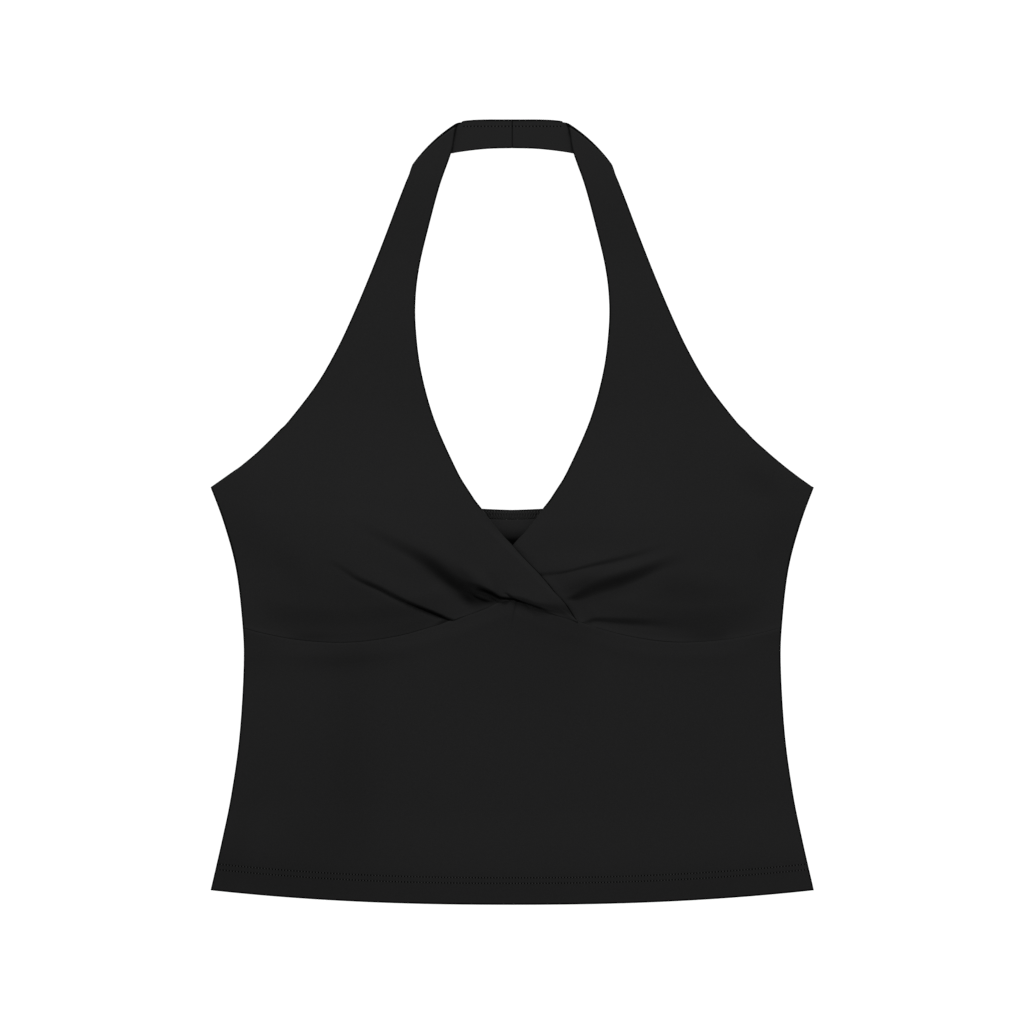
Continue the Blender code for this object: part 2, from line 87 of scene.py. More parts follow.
def read(table: Sequence, at: Field) -> Field:
    """Returns a table's second column where its first has these values."""
    return np.interp(at, *np.array(table, float).T)


def rows_of(kind: Callable[..., Kind], *rows: Row) -> tuple[Kind, ...]:
    """Returns a table whose rows are all of one kind."""
    return tuple(kind(*row) for row in rows)


def through_three(start: Field, middle: Field, end: Field, shares: Field) -> Field:
    """Finds places on the parabola through three places.

    Args:
        start, middle, end: the places at shares 0, 1/2 and 1.
        shares: how far along each wanted place is.

    Returns:
        One row for each share.
    """
    start, middle, end = (np.array(place, float) for place in (start, middle, end))
    share = np.asarray(shares, float)[:, None]
    near = start * (1 - share) * (1 - 2 * share) + middle * 4 * share * (1 - share)
    return near + end * share * (2 * share - 1)


def between_rows(table: Sequence, place: float) -> Field:
    """Reads all columns of a table between its rows.

    Args:
        table: rows of numbers.
        place: where to read, counted in rows.

    Returns:
        The columns there, on a smooth curve through the rows.
    """
    values = np.array(table, float)
    first = min(max(math.floor(place), 0), len(values) - 2)
    t = place - first
    start, end = values[first], values[first + 1]
    before = values[first - 1] if first > 0 else 2 * start - end
    after = values[first + 2] if first + 2 < len(values) else 2 * end - start
    start_turn, end_turn = (2 * start - before - end) / 2, (2 * end - start - after) / 2
    return (1 - t) * start + t * end + t * (1 - t) * ((1 - t) * start_turn + t * end_turn)


def curve_through(table: Sequence, steps: int) -> Field:
    """Returns a dense line of places on the smooth curve through a table's rows."""
    return np.array([between_rows(table, number / steps) for number in range((len(table) - 1) * steps + 1)])


def spaced(total: float, edge: Row, shares: Field, far_edge: Sequence[float] | None = None) -> Field:
    """Spaces places along a length, close together at both ends.

    Args:
        total: the length.
        edge: distances from the near end, from 0 up.
        shares: how the rest is shared out, from 0 to 1, both left out of it.
        far_edge: distances from the far end, where they differ.

    Returns:
        Rising distances from the near end.
    """
    near, far = np.array(edge), np.array(edge if far_edge is None else far_edge)
    inner = near[-1] + np.asarray(shares) * (total - near[-1] - far[-1])
    return np.concatenate([near, inner, total - far[::-1]])


class Side(Enum):
    """The side of the garment, as its wearer has it."""

    RIGHT = -1
    LEFT = 1


class Face(Enum):
    """The face of a cloth that sewing shows on."""

    TOP = 1
    UNDER = -1


class SeamPlace(NamedTuple):
    """A place on a seam that is alike on both sides."""

    half: float
    up: float


@dataclass(frozen=True)
class Pattern:
    """The outline that the pieces share."""

    length: float = 523.3
    hem_half: float = 201.0
    hem_low: float = -0.4
    hem_lift: float = 9.3
    hem_curve: float = 2.27
    hem_deep: float = 18.8
    back_top: float = 262.9
    back_curve: float = 1.3
    line_steps: int = 24
    side_seam: tuple[SeamPlace, ...] = rows_of(
        SeamPlace,
        (201.1, 9.3), (193.6, 42.8), (187.2, 74.8), (181.7, 114.8), (179, 162.8), (180.5, 194.8),
        (184.6, 226.8), (192.35, 254.8), (201.1, 278),
    )
    underbust: tuple[SeamPlace, ...] = rows_of(
        SeamPlace,
        (0, 202.8), (8, 201.2), (17, 197.4), (31, 192.2), (52, 185.6), (75, 179.2), (100, 175.2),
        (122, 174.6), (145, 176.6), (166, 180.6), (179.6, 184.3),
    )

    @cached_property
    def side_line(self) -> Field:
        """The side seam as a dense line, of heights and half widths."""
        return curve_through(self.side_seam, self.line_steps)[:, ::-1]

    @cached_property
    def seam_line(self) -> Field:
        """Half of the underbust seam as a dense line."""
        return curve_through(self.underbust, self.line_steps)

    def side_half(self, up: Field) -> Field:
        """Returns half the body's width at a height on the side seam."""
        return read(self.side_line, up)

    def seam_up(self, across: Field) -> Field:
        """Returns how high the underbust seam is."""
        return read(self.seam_line, np.abs(across))

    def hem_up(self, across: Field) -> Field:
        """Returns how high the bottom edge is."""
        lift = self.hem_lift - self.hem_low
        return self.hem_low + lift * (np.abs(across) / self.hem_half) ** self.hem_curve

    def back_top_up(self, across: Field) -> Field:
        """Returns how high the top edge of the back is."""
        end = self.side_seam[-1]
        return self.back_top + (end.up - self.back_top) * (np.abs(across) / end.half) ** self.back_curve

    def above_seam(self, across: Field, up: Field, step: float = 0.5) -> Field:
        """Returns the distance of a place above the underbust seam, at right angles to it."""
        slope = (self.seam_up(across + step) - self.seam_up(across - step)) / (2 * step)
        return (up - self.seam_up(across)) / np.hypot(1.0, slope)


class Bend(NamedTuple):
    """One place on a crease. The cloth on the left of the crease's run rolls up, the cloth on its
    right sinks, and the line between them may carry painted shade."""

    across: float
    up: float
    roll: float
    sink: float
    roll_wide: float
    sink_wide: float
    step: float
    painted_dark: float = 0.0
    painted_dark_wide: float = 1.0


@dataclass(frozen=True)
class Crease:
    """A crease in the cloth, from one end to the other."""

    bends: tuple[Bend, ...]
    line_steps: int = 6
    reach: float = 3.0  # in widths, past which a crease is not felt

    @cached_property
    def line(self) -> Field:
        """The crease as a dense line of places."""
        return curve_through([bend[:2] for bend in self.bends], self.line_steps)

    def measure(self, across: Field, up: Field) -> tuple[Field, Field]:
        """Measures places from the crease.

        Args:
            across, up: the places.

        Returns:
            How far each is to the left of the crease's run, below 0 on its right, and how far along
            the crease the nearest place on it is, counted in bends.
        """
        nearest = np.full(across.shape, np.inf)
        left, along = np.zeros(across.shape), np.zeros(across.shape)
        for number, (start, end) in enumerate(zip(self.line, self.line[1:])):
            leg = end - start
            off_x, off_y = across - start[0], up - start[1]
            share = np.clip((off_x * leg[0] + off_y * leg[1]) / (leg @ leg), 0.0, 1.0)
            off_x, off_y = off_x - share * leg[0], off_y - share * leg[1]
            distance = np.hypot(off_x, off_y)
            nearer = distance < nearest
            nearest = np.where(nearer, distance, nearest)
            left = np.where(nearer, distance * np.sign(leg[0] * off_y - leg[1] * off_x), left)
            along = np.where(nearer, (number + share) / self.line_steps, along)
        return left, along

    def shape(self, across: Field, up: Field) -> tuple[Field, Field]:
        """Finds what the crease does to the cloth.

        Args:
            across, up: the places.

        Returns:
            What the crease adds to the rise, and the shade painted there.
        """
        bends = np.array(self.bends, float)
        margin = self.reach * bends[:, 4:7].max()
        low, high = bends[:, :2].min(0) - margin, bends[:, :2].max(0) + margin
        near = (across > low[0]) & (across < high[0]) & (up > low[1]) & (up < high[1])
        rise, shade = np.zeros(across.shape), np.zeros(across.shape)
        if near.any():
            left, along = self.measure(across[near], up[near])
            columns = [np.interp(along, np.arange(len(bends)), column) for column in bends[:, 2:].T]
            roll, sink, roll_wide, sink_wide, step, painted_dark, painted_dark_wide = columns
            over = smooth(left / step + 0.5)
            sunk = sink * (1 - over) * bump(np.minimum(left, 0.0), sink_wide)
            rise[near] = roll * over * bump(np.maximum(left, 0.0), roll_wide) - sunk
            # painted shade along the crease's line
            shade[near] = painted_dark * bump(left, painted_dark_wide)
        return rise, shade


def crease(*bends: Row) -> Crease:
    """Returns the crease that runs through these bends."""
    return Crease(rows_of(Bend, *bends))


def creases_shape(creases: Sequence[Crease], across: Field, up: Field) -> tuple[Field, ...]:
    """Returns what several creases add to the rise together, and their painted shade."""
    shapes = [(np.zeros(across.shape),) * 2, *(each.shape(across, up) for each in creases)]
    return tuple(sum(parts) for parts in zip(*shapes))


class Patch(NamedTuple):
    """A soft patch of the cloth, turned by an angle in degrees: a swell's rise, or how dark a painted shade
    is.
    """

    across: float
    up: float
    amount: float
    long: float
    wide: float
    turn: float


def patches_sum(patches: Sequence[Patch], across: Field, up: Field) -> Field:
    """Adds up soft patches.

    Args:
        patches: the swells, or the painted shades.
        across, up: the places.

    Returns:
        Their amounts there, added up.
    """
    total = np.zeros(across.shape)
    for patch in patches:
        sine, cosine = math.sin(math.radians(patch.turn)), math.cos(math.radians(patch.turn))
        off_x, off_y = across - patch.across, up - patch.up
        along, aside = off_x * cosine + off_y * sine, off_y * cosine - off_x * sine
        total += patch.amount * bump(along, patch.long) * bump(aside, patch.wide)
    return total


@dataclass(frozen=True)
class Lie:
    """How the layers lie on the surface and on each other."""

    pattern: Pattern
    cloth: float = 1.0
    lined: float = 1.6
    hemmed: float = 1.9
    elastic: float = 1.0
    gap: float = 0.3
    crossing_gap: float = 0.6
    band_wide: float = 6.6
    band_ease: float = 46.0
    band_flat: float = 2.0
    drop_from: float = 1.0
    drop_long: float = 70.0
    strap_lift_up: float = 420.0
    strap_lift_long: float = 66.0
    fold_gap: float = 0.6
    crossing_rise: float = 2.4
    crossing_up: float = 222.0
    crossing_wide: float = 42.0
    crossing_tall: tuple[float, float] = (34.0, 60.0)  # above there, and towards the seam
    dome_rise: float = 4.2
    dome_across: float = 98.0
    dome_up: float = 228.0
    dome_wide: float = 80.0
    dome_tall: float = 46.0
    dome_off_seam: float = 24.0
    dome_off_side: float = 26.0
    knot_off_seam: tuple[Row, Row] = ((14.0, 3.5), (30.0, 8.0))  # instead, under the knot and past it
    knot_from: float = 28.0
    knot_wide: float = 28.0
    rounding: float = 0.5

    def rest(self, across: Field, up: Field) -> Field:
        """Finds where a front's underside can lie.

        Args:
            across, up: the places.

        Returns:
            The rise of what is under it: the back, its elastic, the surface or the strap's end.
        """
        on_back = self.cloth + self.gap
        on_band = on_back + self.elastic + self.gap
        past = up - self.pattern.back_top_up(across)
        onto_band = smooth((past + self.band_wide + self.band_ease) / (self.band_ease - self.band_flat))
        off_back = 1.0 - smooth((past - self.drop_from) / self.drop_long)
        on_strap = (self.lined + self.fold_gap) * smooth((up - self.strap_lift_up) / self.strap_lift_long)
        return (on_back + (on_band - on_back) * onto_band) * off_back + on_strap

    def crossing(self, across: Field, up: Field) -> Field:
        """Returns how far the crossed layers at the centre stand off the back."""
        past = up - self.crossing_up
        tall = bump(past, np.where(past > 0, *self.crossing_tall))
        return self.crossing_rise * bump(across, self.crossing_wide) * tall

    def off_knot(self, across: Field) -> Field:
        """Returns how far above the seam the layers in the knot reach their height."""
        return read(self.knot_off_seam, across)

    def dome(self, side: Side, across: Field, up: Field) -> Field:
        """Finds the fullness of a gathered cup.

        Args:
            side: whose cup it is.
            across, up: the places.

        Returns:
            Its rise, which ends at the underbust seam and at the side seam.
        """
        dome = bump(across - side.value * self.dome_across, self.dome_wide)
        dome = dome * bump(up - self.dome_up, self.dome_tall)
        under_knot = (side is Side.LEFT) * (1 - smooth((across - self.knot_from) / self.knot_wide))
        ease = self.dome_off_seam + (self.off_knot(across) - self.dome_off_seam) * under_knot
        off_seam = smooth((up - self.pattern.seam_up(across)) / ease)
        under = np.minimum(up, self.pattern.side_seam[-1].up)
        off_side = smooth((self.pattern.side_half(under) - np.abs(across)) / self.dome_off_side)
        return self.dome_rise * dome * off_seam * off_side


def rounded(distance: Field, thick: float, radius: float) -> Field:
    """Finds half the thickness of a cloth near its rim.

    Args:
        distance: how far from the rim.
        thick: the thickness away from the rim.
        radius: how far in the rim's rounding goes.

    Returns:
        Half the thickness, which is 0 on the rim itself.
    """
    inside = 1 - np.clip(distance / radius, 0.0, 1.0)
    return thick / 2 * np.sqrt(1 - inside**2)


def painted_rim_shade(distance: Field, wide: float | Field = 1.2) -> Field:
    """Returns the painted shade along a rim, from 1 on it to 0 a width away."""
    return 1 - smooth(3 * distance / wide - 2)


def make_piece(name: str, points: Field, faces: list, finish: Material) -> Piece:
    """Makes a piece.

    Args:
        name: its name.
        points: its places with their rises.
        faces: the numbers of each face's points.
        finish: its material.

    Returns:
        The new object, in the scene.
    """
    mesh = bpy.data.meshes.new(name)
    mesh.from_pydata(((points - (0.0, Pattern.length / 2, 0.0)) * MM).tolist(), [], faces)
    mesh.shade_smooth()
    mesh.materials.append(finish)
    piece = bpy.data.objects.new(name, mesh)
    bpy.context.scene.collection.objects.link(piece)
    return piece


@dataclass
class Shell:
    """A closed wall of cloth on a grid of rows and columns."""

    name: str
    middles: Field  # rows, columns, 3
    normals: Field
    half: Field  # half the thickness, made 0 all round the grid
    depth: Field  # painted shade: 0 on open cloth, 1 deep in a crease or on a rim

    def faces(self) -> tuple[Field, Field]:
        """Joins the grid's points.

        Returns:
            The corners of each face on both sides of the wall, and which points are used.
        """
        outer = np.arange(self.half.size).reshape(self.half.shape)
        inner = outer + self.half.size
        for border in BORDERS:
            inner[border] = outer[border]
        quads = []
        for grid, way in ((outer, 1), (inner, -1)):
            corners = [grid[:-1, :-1], grid[:-1, 1:], grid[1:, 1:], grid[1:, :-1]]
            quads.append(np.stack(corners[::way], axis=-1).reshape(-1, 4))
        faces = np.concatenate(quads)
        run, climb = self.middles[0, 1] - self.middles[0, 0], self.middles[1, 0] - self.middles[0, 0]
        if np.cross(run, climb) @ self.normals[1, 1] < 0:
            faces = faces[:, ::-1]
        used = np.unique(faces)
        return np.searchsorted(used, faces), used

    def build(self, finish: Material) -> Piece:
        """Builds the wall in a material, as one piece.

        Args:
            finish: the material.

        Returns:
            The new piece.
        """
        for border in BORDERS:
            self.half[border] = 0.0
        faces, used = self.faces()
        away = self.normals * self.half[..., None]
        points = np.concatenate([self.middles + away, self.middles - away]).reshape(-1, 3)
        piece = make_piece(self.name, points[used], faces.tolist(), finish)
        # the painted shade goes onto the mesh as a point attribute, which the finishes darken the colour by
        depth = piece.data.attributes.new("depth", "FLOAT", "POINT")
        depth.data.foreach_set("value", np.tile(self.depth.ravel(), 2)[used].astype(np.float32))
        return piece


def laid(places: Field, rise: Rise, thick: float, step: float = 0.2) -> tuple[Field, Field]:
    """Lays places on a cloth whose underside has a rise.

    Args:
        places: a grid of places, across and up.
        rise: the rise of the underside.
        thick: the cloth's thickness.
        step: how far apart the slope is measured.

    Returns:
        The middle of the cloth at each place, and the direction out of it.
    """
    across, up = places[..., 0], places[..., 1]
    under = rise(across, up)
    slopes = (rise(across + step, up) - under) / step, (rise(across, up + step) - under) / step
    normals = np.stack([-slopes[0], -slopes[1], np.ones_like(under)], axis=-1)
    normals /= np.linalg.norm(normals, axis=-1, keepdims=True)
    return np.concatenate([places, (under + thick / 2)[..., None]], axis=-1), normals


class Strap(NamedTuple):
    """A row of a strap, or of the band behind the neck, alike on both sides."""

    outer_half: float
    outer_up: float
    inner_half: float
    inner_up: float


@dataclass(frozen=True)
class StrapPattern:
    """The straps from the meeting of the necklines, over their folds, to the seam behind the neck."""

    strap: tuple[Strap, ...] = rows_of(
        Strap,
        (155.3, 316, 29.75, 277), (148.7, 322.8, 37.7, 290.8), (130.4, 346.8, 51.8, 322.8),
        (116.6, 370.8, 60.6, 354.8), (105.4, 394.8, 64.2, 382.8), (95.3, 418.8, 64.4, 404.8),
        (85.8, 442.8, 61.6, 426.8), (76.7, 466.8, 55.4, 452.8), (71.4, 480.4, 48.4, 478.8),
        (69.2, 485.6, 40.6, 501.3), (67.6, 490.4, 38.4, 514),
    )
    fold_lower: SeamPlace = SeamPlace(66.2, 493.6)
    fold_upper: SeamPlace = SeamPlace(36.8, 521.1)
    neck: tuple[Strap, ...] = rows_of(
        Strap,
        (56, 496.4, 32.6, 522.3), (47, 499.2, 26, 523), (34, 501.7, 17, 523.3), (17, 503.6, 8, 523.3),
        (0, 504.1, 0, 523.3),
    )
    fold_bulge: float = 2.0

    def fold(self, side: Side) -> tuple[Field, Field, Field, Field]:
        """Finds the line that a strap turns about.

        Args:
            side: whose strap it is.

        Returns:
            Its lower and upper ends, and the directions along it and away from the garment.
        """
        ends = (self.fold_lower, self.fold_upper)
        lower, upper = (np.array([side.value * end.half, end.up]) for end in ends)
        along = (upper - lower) / np.hypot(*(upper - lower))
        return lower, upper, along, np.array([side.value * abs(along[1]), abs(along[0])])

    def slants(self, side: Side) -> list[float]:
        """Returns how much each edge of the strap moves along the fold while it turns once about it."""
        lower, upper, along, away = self.fold(side)
        outer, inner = np.reshape(self.strap[-1], (2, 2)) * (side.value, 1.0)
        return [float(step @ along) / float(step @ away) for step in (lower - outer, upper - inner)]

    def turned(self, side: Side, angle: float, shares: Field, lie: Lie) -> tuple[Field, Field]:
        """Turns the strap about its fold.

        Args:
            side: whose strap it is.
            angle: how far it has turned, in radians.
            shares: how far across the strap each place is, from its outer edge.
            lie: the thickness of the strap and the gap inside its fold.

        Returns:
            The middle of the cloth at each place, and the direction out of it.
        """
        lower, upper, along, away = self.fold(side)
        lower_slant, upper_slant = self.slants(side)
        radius = (lie.lined + lie.fold_gap) / 2
        share = np.asarray(shares)[:, None]
        slant = lower_slant + (upper_slant - lower_slant) * share
        bulge = self.fold_bulge * 4 * share * (1 - share)
        places = lower + (upper - lower) * share + away * (bulge - radius - lie.lined / 2)
        places = places + along * slant * radius * (angle - math.pi / 2) + away * radius * math.sin(angle)
        rise = np.full(len(share), lie.lined / 2 + radius * (1 + math.cos(angle)))
        normal = np.array([*(away * math.sin(angle)), math.cos(angle)])
        return np.column_stack([places, rise]), np.tile(normal, (len(share), 1))


@dataclass
class Front:
    """A front in one piece: gathered cup, strap, fold beside the neck, and its end behind it."""

    pattern: Pattern
    lie: Lie
    straps: StrapPattern
    side: Side = Side.LEFT
    name: str = ""
    gathers: Table = ()  # a height on the side seam, a middle place, how far across on the underbust seam
    sections: Table = ()  # above the gathers, a place on the outer edge, a middle one, one on the inner edge
    creases: tuple[Crease, ...] = ()
    fine_creases: tuple[Crease, ...] = ()  # added last, on whatever lies under them
    swells: tuple[Patch, ...] = ()
    # soft patches of painted shade
    shades: tuple[Patch, ...] = ()
    seam_held: float = 0.75  # share of a crease that is left at the underbust seam
    seam_ease: float = 7.0
    columns: int = 104
    inner_denser: float = 0.55
    gather_rows: int = 30  # from one row of the table to the next
    section_rows: int = 18
    strap_rows: int = 7
    fold_rows: int = 16
    rough_steps: int = 17
    look_ahead: float = 0.05
    least_sine: float = 0.4  # the slant of the inner edge counts down to this
    steps_near_seam: Row = (0.0, 0.0022, 0.0075, 0.018)
    seam_radius: float = 0.3
    inner_edge: Table = ()  # how far across it is at each height
    thin_edge: float = 0.0  # how much thinner the front is there, and how far in
    thin_edge_wide: float = 8.0
    thin_edge_up: float = 240.0  # above this it is whole again, over this height
    thin_edge_fade: float = 30.0
    ridge_rise: float = 0.22  # how far it rises to its underbust seam, and over what width
    ridge_wide: float = 2.1
    seam_shades: Table = ((0.0, 0.0),)  # how dark the painted shade is along its underbust seam
    seam_shade_up: float = 1.5
    seam_shade_wide: float = 5.0
    # painted shade along the inner edge's rim, at each height
    inner_painted_shade: Table = (
        (190, 0.95), (225, 0.95), (236, 0.7), (243, 0.25), (261.5, 0.25), (264.5, 1), (499, 1),
        (502.5, 0.5),
    )
    thin_line: float = 0.92  # how wide the inner edge's painted dark line is on other cloth, and elsewhere
    open_line: float = 1.2
    # widths of the painted dark lines on the fold's rim and at the end behind the neck, and how dark that end
    # is
    fold_line: float = 1.6
    end_painted_shade: float = 0.33
    end_line: float = 0.5

    def creased(self, across: Field, up: Field) -> Field:
        """Returns what the creases add to the rise, less at the underbust seam."""
        off_seam = smooth((up - self.pattern.seam_up(across)) / self.seam_ease)
        return (self.seam_held + (1 - self.seam_held) * off_seam) * creases_shape(self.creases, across, up)[0]

    def shade(self, across: Field, up: Field) -> Field:
        """Returns the shade painted on the front in its creases and hollows."""
        creased = creases_shape(self.creases, across, up)[1] + creases_shape(self.fine_creases, across, up)[1]
        off_seam = self.pattern.above_seam(across, up) - self.seam_shade_up
        along_seam = read(self.seam_shades, across) * bump(off_seam, self.seam_shade_wide)
        return creased + patches_sum(self.shades, across, up) + along_seam

    def own_rise(self, across: Field, up: Field) -> Field:
        """Returns how far the front stands above what it rests on."""
        raise NotImplementedError

    def rise(self, across: Field, up: Field) -> Field:
        """Returns the rise of the front's underside."""
        ridge = self.ridge_rise * bump(self.pattern.above_seam(across, up), self.ridge_wide)
        return self.lie.rest(across, up) + self.own_rise(across, up) + ridge

    def row(self, start: Field, middle: Field, end: Field, turned_in: float) -> tuple[Field, Field]:
        """Spaces a row's places, close together at its edges.

        Args:
            start, middle, end: the row's outer, middle and inner places.
            turned_in: the sine of the angle between the row and the edge at its inner end.

        Returns:
            The places, and how far along the row each is, from 0 to 1.
        """
        even = np.linspace(0, 1, self.columns + 2)[1:-1]
        dense = even + self.inner_denser * even * (1 - even)
        rough = through_three(start, middle, end, np.linspace(0, 1, self.rough_steps))
        total = float(np.hypot(*np.diff(rough, axis=0).T).sum())
        far = np.array(RIM_STEPS) / max(turned_in, self.least_sine)
        shares = spaced(total, RIM_STEPS, dense, far) / total
        return through_three(start, middle, end, shares), shares

    def gather_grid(self) -> Field:
        """Returns the places of the gathered part, whose first row follows the underbust seam."""
        last = len(self.gathers) - 1
        steps = np.arange(self.gather_rows) / self.gather_rows
        along = {number + step for number in range(last) for step in steps}
        rows, lowest = [], None
        for place in sorted({*along, *self.steps_near_seam, float(last)}):
            side_up, middle_across, middle_up, seam_across = between_rows(self.gathers, place)
            start = (self.side.value * self.pattern.side_half(side_up), side_up)
            end = (seam_across, self.pattern.seam_up(seam_across))
            row = self.row(start, (middle_across, middle_up), end, 1.0)[0]
            if lowest is None:
                lowest = self.pattern.seam_up(row[:, 0]) - row[:, 1]
            row[:, 1] += lowest * max(0.0, 1 - place) ** 2
            rows.append(row)
        return np.array(rows)

    def section_grid(self) -> Field:
        """Returns the places of the smooth part and the strap, up to where it starts to turn."""
        turning = self.straps.turned(self.side, 0.0, np.array([0.0, 1.0]), self.lie)[0][:, :2]
        straps = [np.reshape(strap, (2, 2)) * (self.side.value, 1.0) for strap in self.straps.strap]
        sections = [*self.sections, *(np.ravel([a, (a + b) / 2, b]) for a, b in [*straps, turning])]
        own, last = len(self.sections), len(sections) - 1
        counts = [self.section_rows if number < own else self.strap_rows for number in range(last)]
        away = self.straps.fold(self.side)[3]
        rows = []
        for place in [n + step / count for n, count in enumerate(counts) for step in range(1, count + 1)]:
            start, middle, end = between_rows(sections, place).reshape(3, 2)
            ahead = between_rows(sections, place + self.look_ahead)[4:] - end
            if end[1] < self.inner_edge[-1][0]:
                end[0] = read(self.inner_edge, end[1])
            run = end - middle
            turned_in = abs(run[0] * ahead[1] - run[1] * ahead[0]) / (np.hypot(*run) * np.hypot(*ahead))
            row, shares = self.row(start, middle, end, float(turned_in))
            to_fold = smooth((place - (last - 2)) / 2.0)
            rows.append(row + away * (to_fold * self.straps.fold_bulge * 4 * shares * (1 - shares))[:, None])
        return np.array(rows)

    def neck_grid(self, lower: Field, upper: Field, shares: Field) -> Field:
        """Finds the places of the band behind the neck.

        Args:
            lower, upper: where the strap's edges lie once it has turned.
            shares: how far across the band each place is.

        Returns:
            Rows of places from the fold to the centre seam.
        """
        neck = [(abs(lower[0]), lower[1], abs(upper[0]), upper[1]), *self.straps.neck]
        last = len(neck) - 1
        close = {last - step / neck[-2][0] for step in RIM_STEPS}
        even = {number / self.strap_rows for number in range(1, last * self.strap_rows)}
        rows = []
        for place in sorted({place for place in even if place < min(close)} | close):
            outer, inner = between_rows(neck, place).reshape(2, 2) * (self.side.value, 1.0)
            rows.append(outer + (inner - outer) * shares[:, None])
        return np.array(rows)

    def rim_distances(self, places: Field, gathered: int) -> tuple[Field, Field]:
        """Measures how far each place is from the front's rim.

        Args:
            places: the whole grid of places, flat.
            gathered: how many of its rows are in the gathered part.

        Returns:
            The distances at right angles to the outer and to the inner edge.
        """
        steps = np.hypot(*np.moveaxis(np.diff(places, axis=1), -1, 0))
        outer = np.concatenate([np.zeros((len(steps), 1)), np.cumsum(steps, axis=1)], axis=1)
        edge = np.gradient(places[:, -1], axis=0)
        run = places[:, -1] - places[:, -1 - len(RIM_STEPS)]
        sine = np.abs(run[:, 0] * edge[:, 1] - run[:, 1] * edge[:, 0])
        sine /= np.hypot(*run.T) * np.hypot(*edge.T)
        inner = (outer[:, -1:] - outer) * np.clip(sine, self.least_sine, 1.0)[:, None]
        inner[:gathered] = np.inf
        return outer, inner

    def build(self, finish: Material) -> Piece:
        """Builds the front.

        Args:
            finish: its material.

        Returns:
            The new piece.
        """
        thick = self.lie.lined
        cup = self.gather_grid()
        places = np.concatenate([cup, self.section_grid()])
        across, up = places[..., 0], places[..., 1]
        middles, normals = laid(places, self.rise, thick)
        run = np.concatenate([[0.0], np.cumsum(np.hypot(*np.diff(places[-1], axis=0).T))])
        shares = run / run[-1]
        angles = math.pi * np.arange(1, self.fold_rows + 1) / self.fold_rows
        turns = [self.straps.turned(self.side, angle, shares, self.lie) for angle in angles]
        turned, turned_normals = (np.array(parts) for parts in zip(*turns))
        neck = self.neck_grid(turned[-1, 0], turned[-1, -1], shares)
        neck_middles = np.concatenate([neck, np.full((*neck.shape[:2], 1), thick / 2)], axis=-1)
        down = np.broadcast_to(np.array([0.0, 0.0, -1.0]), neck_middles.shape)
        middles = np.concatenate([middles, turned, neck_middles])
        normals = np.concatenate([normals, turned_normals, down])
        laid_rows, end_rows = np.s_[: len(places)], np.s_[-len(neck) :]
        fold_rows = np.s_[len(places) : -len(neck)]

        outer, inner = self.rim_distances(middles[..., :2], len(cup))
        distance = np.minimum(outer, inner)
        near_end = np.abs(neck[..., 0]) - self.straps.neck[-1].outer_half
        distance[end_rows] = np.minimum(distance[end_rows], near_end)
        half = rounded(distance, thick, thick / 2)
        near_seam = rounded(self.pattern.above_seam(across, up), thick, self.seam_radius)
        half[laid_rows] = np.minimum(half[laid_rows], near_seam)
        thinner = self.thin_edge * (1 - smooth(inner[laid_rows] / self.thin_edge_wide))
        thinner = thinner * (1 - smooth((up - self.thin_edge_up) / self.thin_edge_fade))
        half[laid_rows] *= 1 - thinner / thick
        middles[laid_rows, :, 2] -= thinner / 2

        # painted shade: dark lines along the rims, the end behind the neck and the fold, then the creases'
        # and patches' shade
        depth = np.maximum(painted_rim_shade(outer), painted_rim_shade(inner))
        depth[end_rows] = np.maximum(depth[end_rows], self.end_painted_shade * painted_rim_shade(near_end, self.end_line))
        from_rim = (self.lie.fold_gap / 2 + thick) * (1 - np.sin(angles))
        depth[fold_rows] = np.maximum(depth[fold_rows], painted_rim_shade(from_rim, self.fold_line)[:, None])
        painted_dark = read(self.inner_painted_shade, up)
        inner_line = painted_dark * painted_rim_shade(inner[laid_rows], np.where(painted_dark == 1.0, self.open_line, self.thin_line))
        lines = np.maximum(painted_rim_shade(outer[laid_rows]), inner_line)
        depth[laid_rows] = np.maximum(lines, np.clip(self.shade(across, up), 0, 1))
        return Shell(self.name, middles, normals, half, depth).build(finish)


CROSSING_EDGE = (  # how far across the right front's inner edge is at each height
    (188.8, 43.5), (191.1, 41.8), (195.1, 39.4), (199.1, 36.8), (203.1, 33.5), (207.1, 29.4), (213.1, 24.7),
    (220, 18.8), (229.9, 9.1), (236.4, 3.2), (239.8, -0.1), (244.4, -4.8), (249.8, -9.6), (253.8, -12.8),
    (261.8, -19), (264.4, -20.8), (267.1, -23), (269.8, -25.1), (277, -29.75),
)


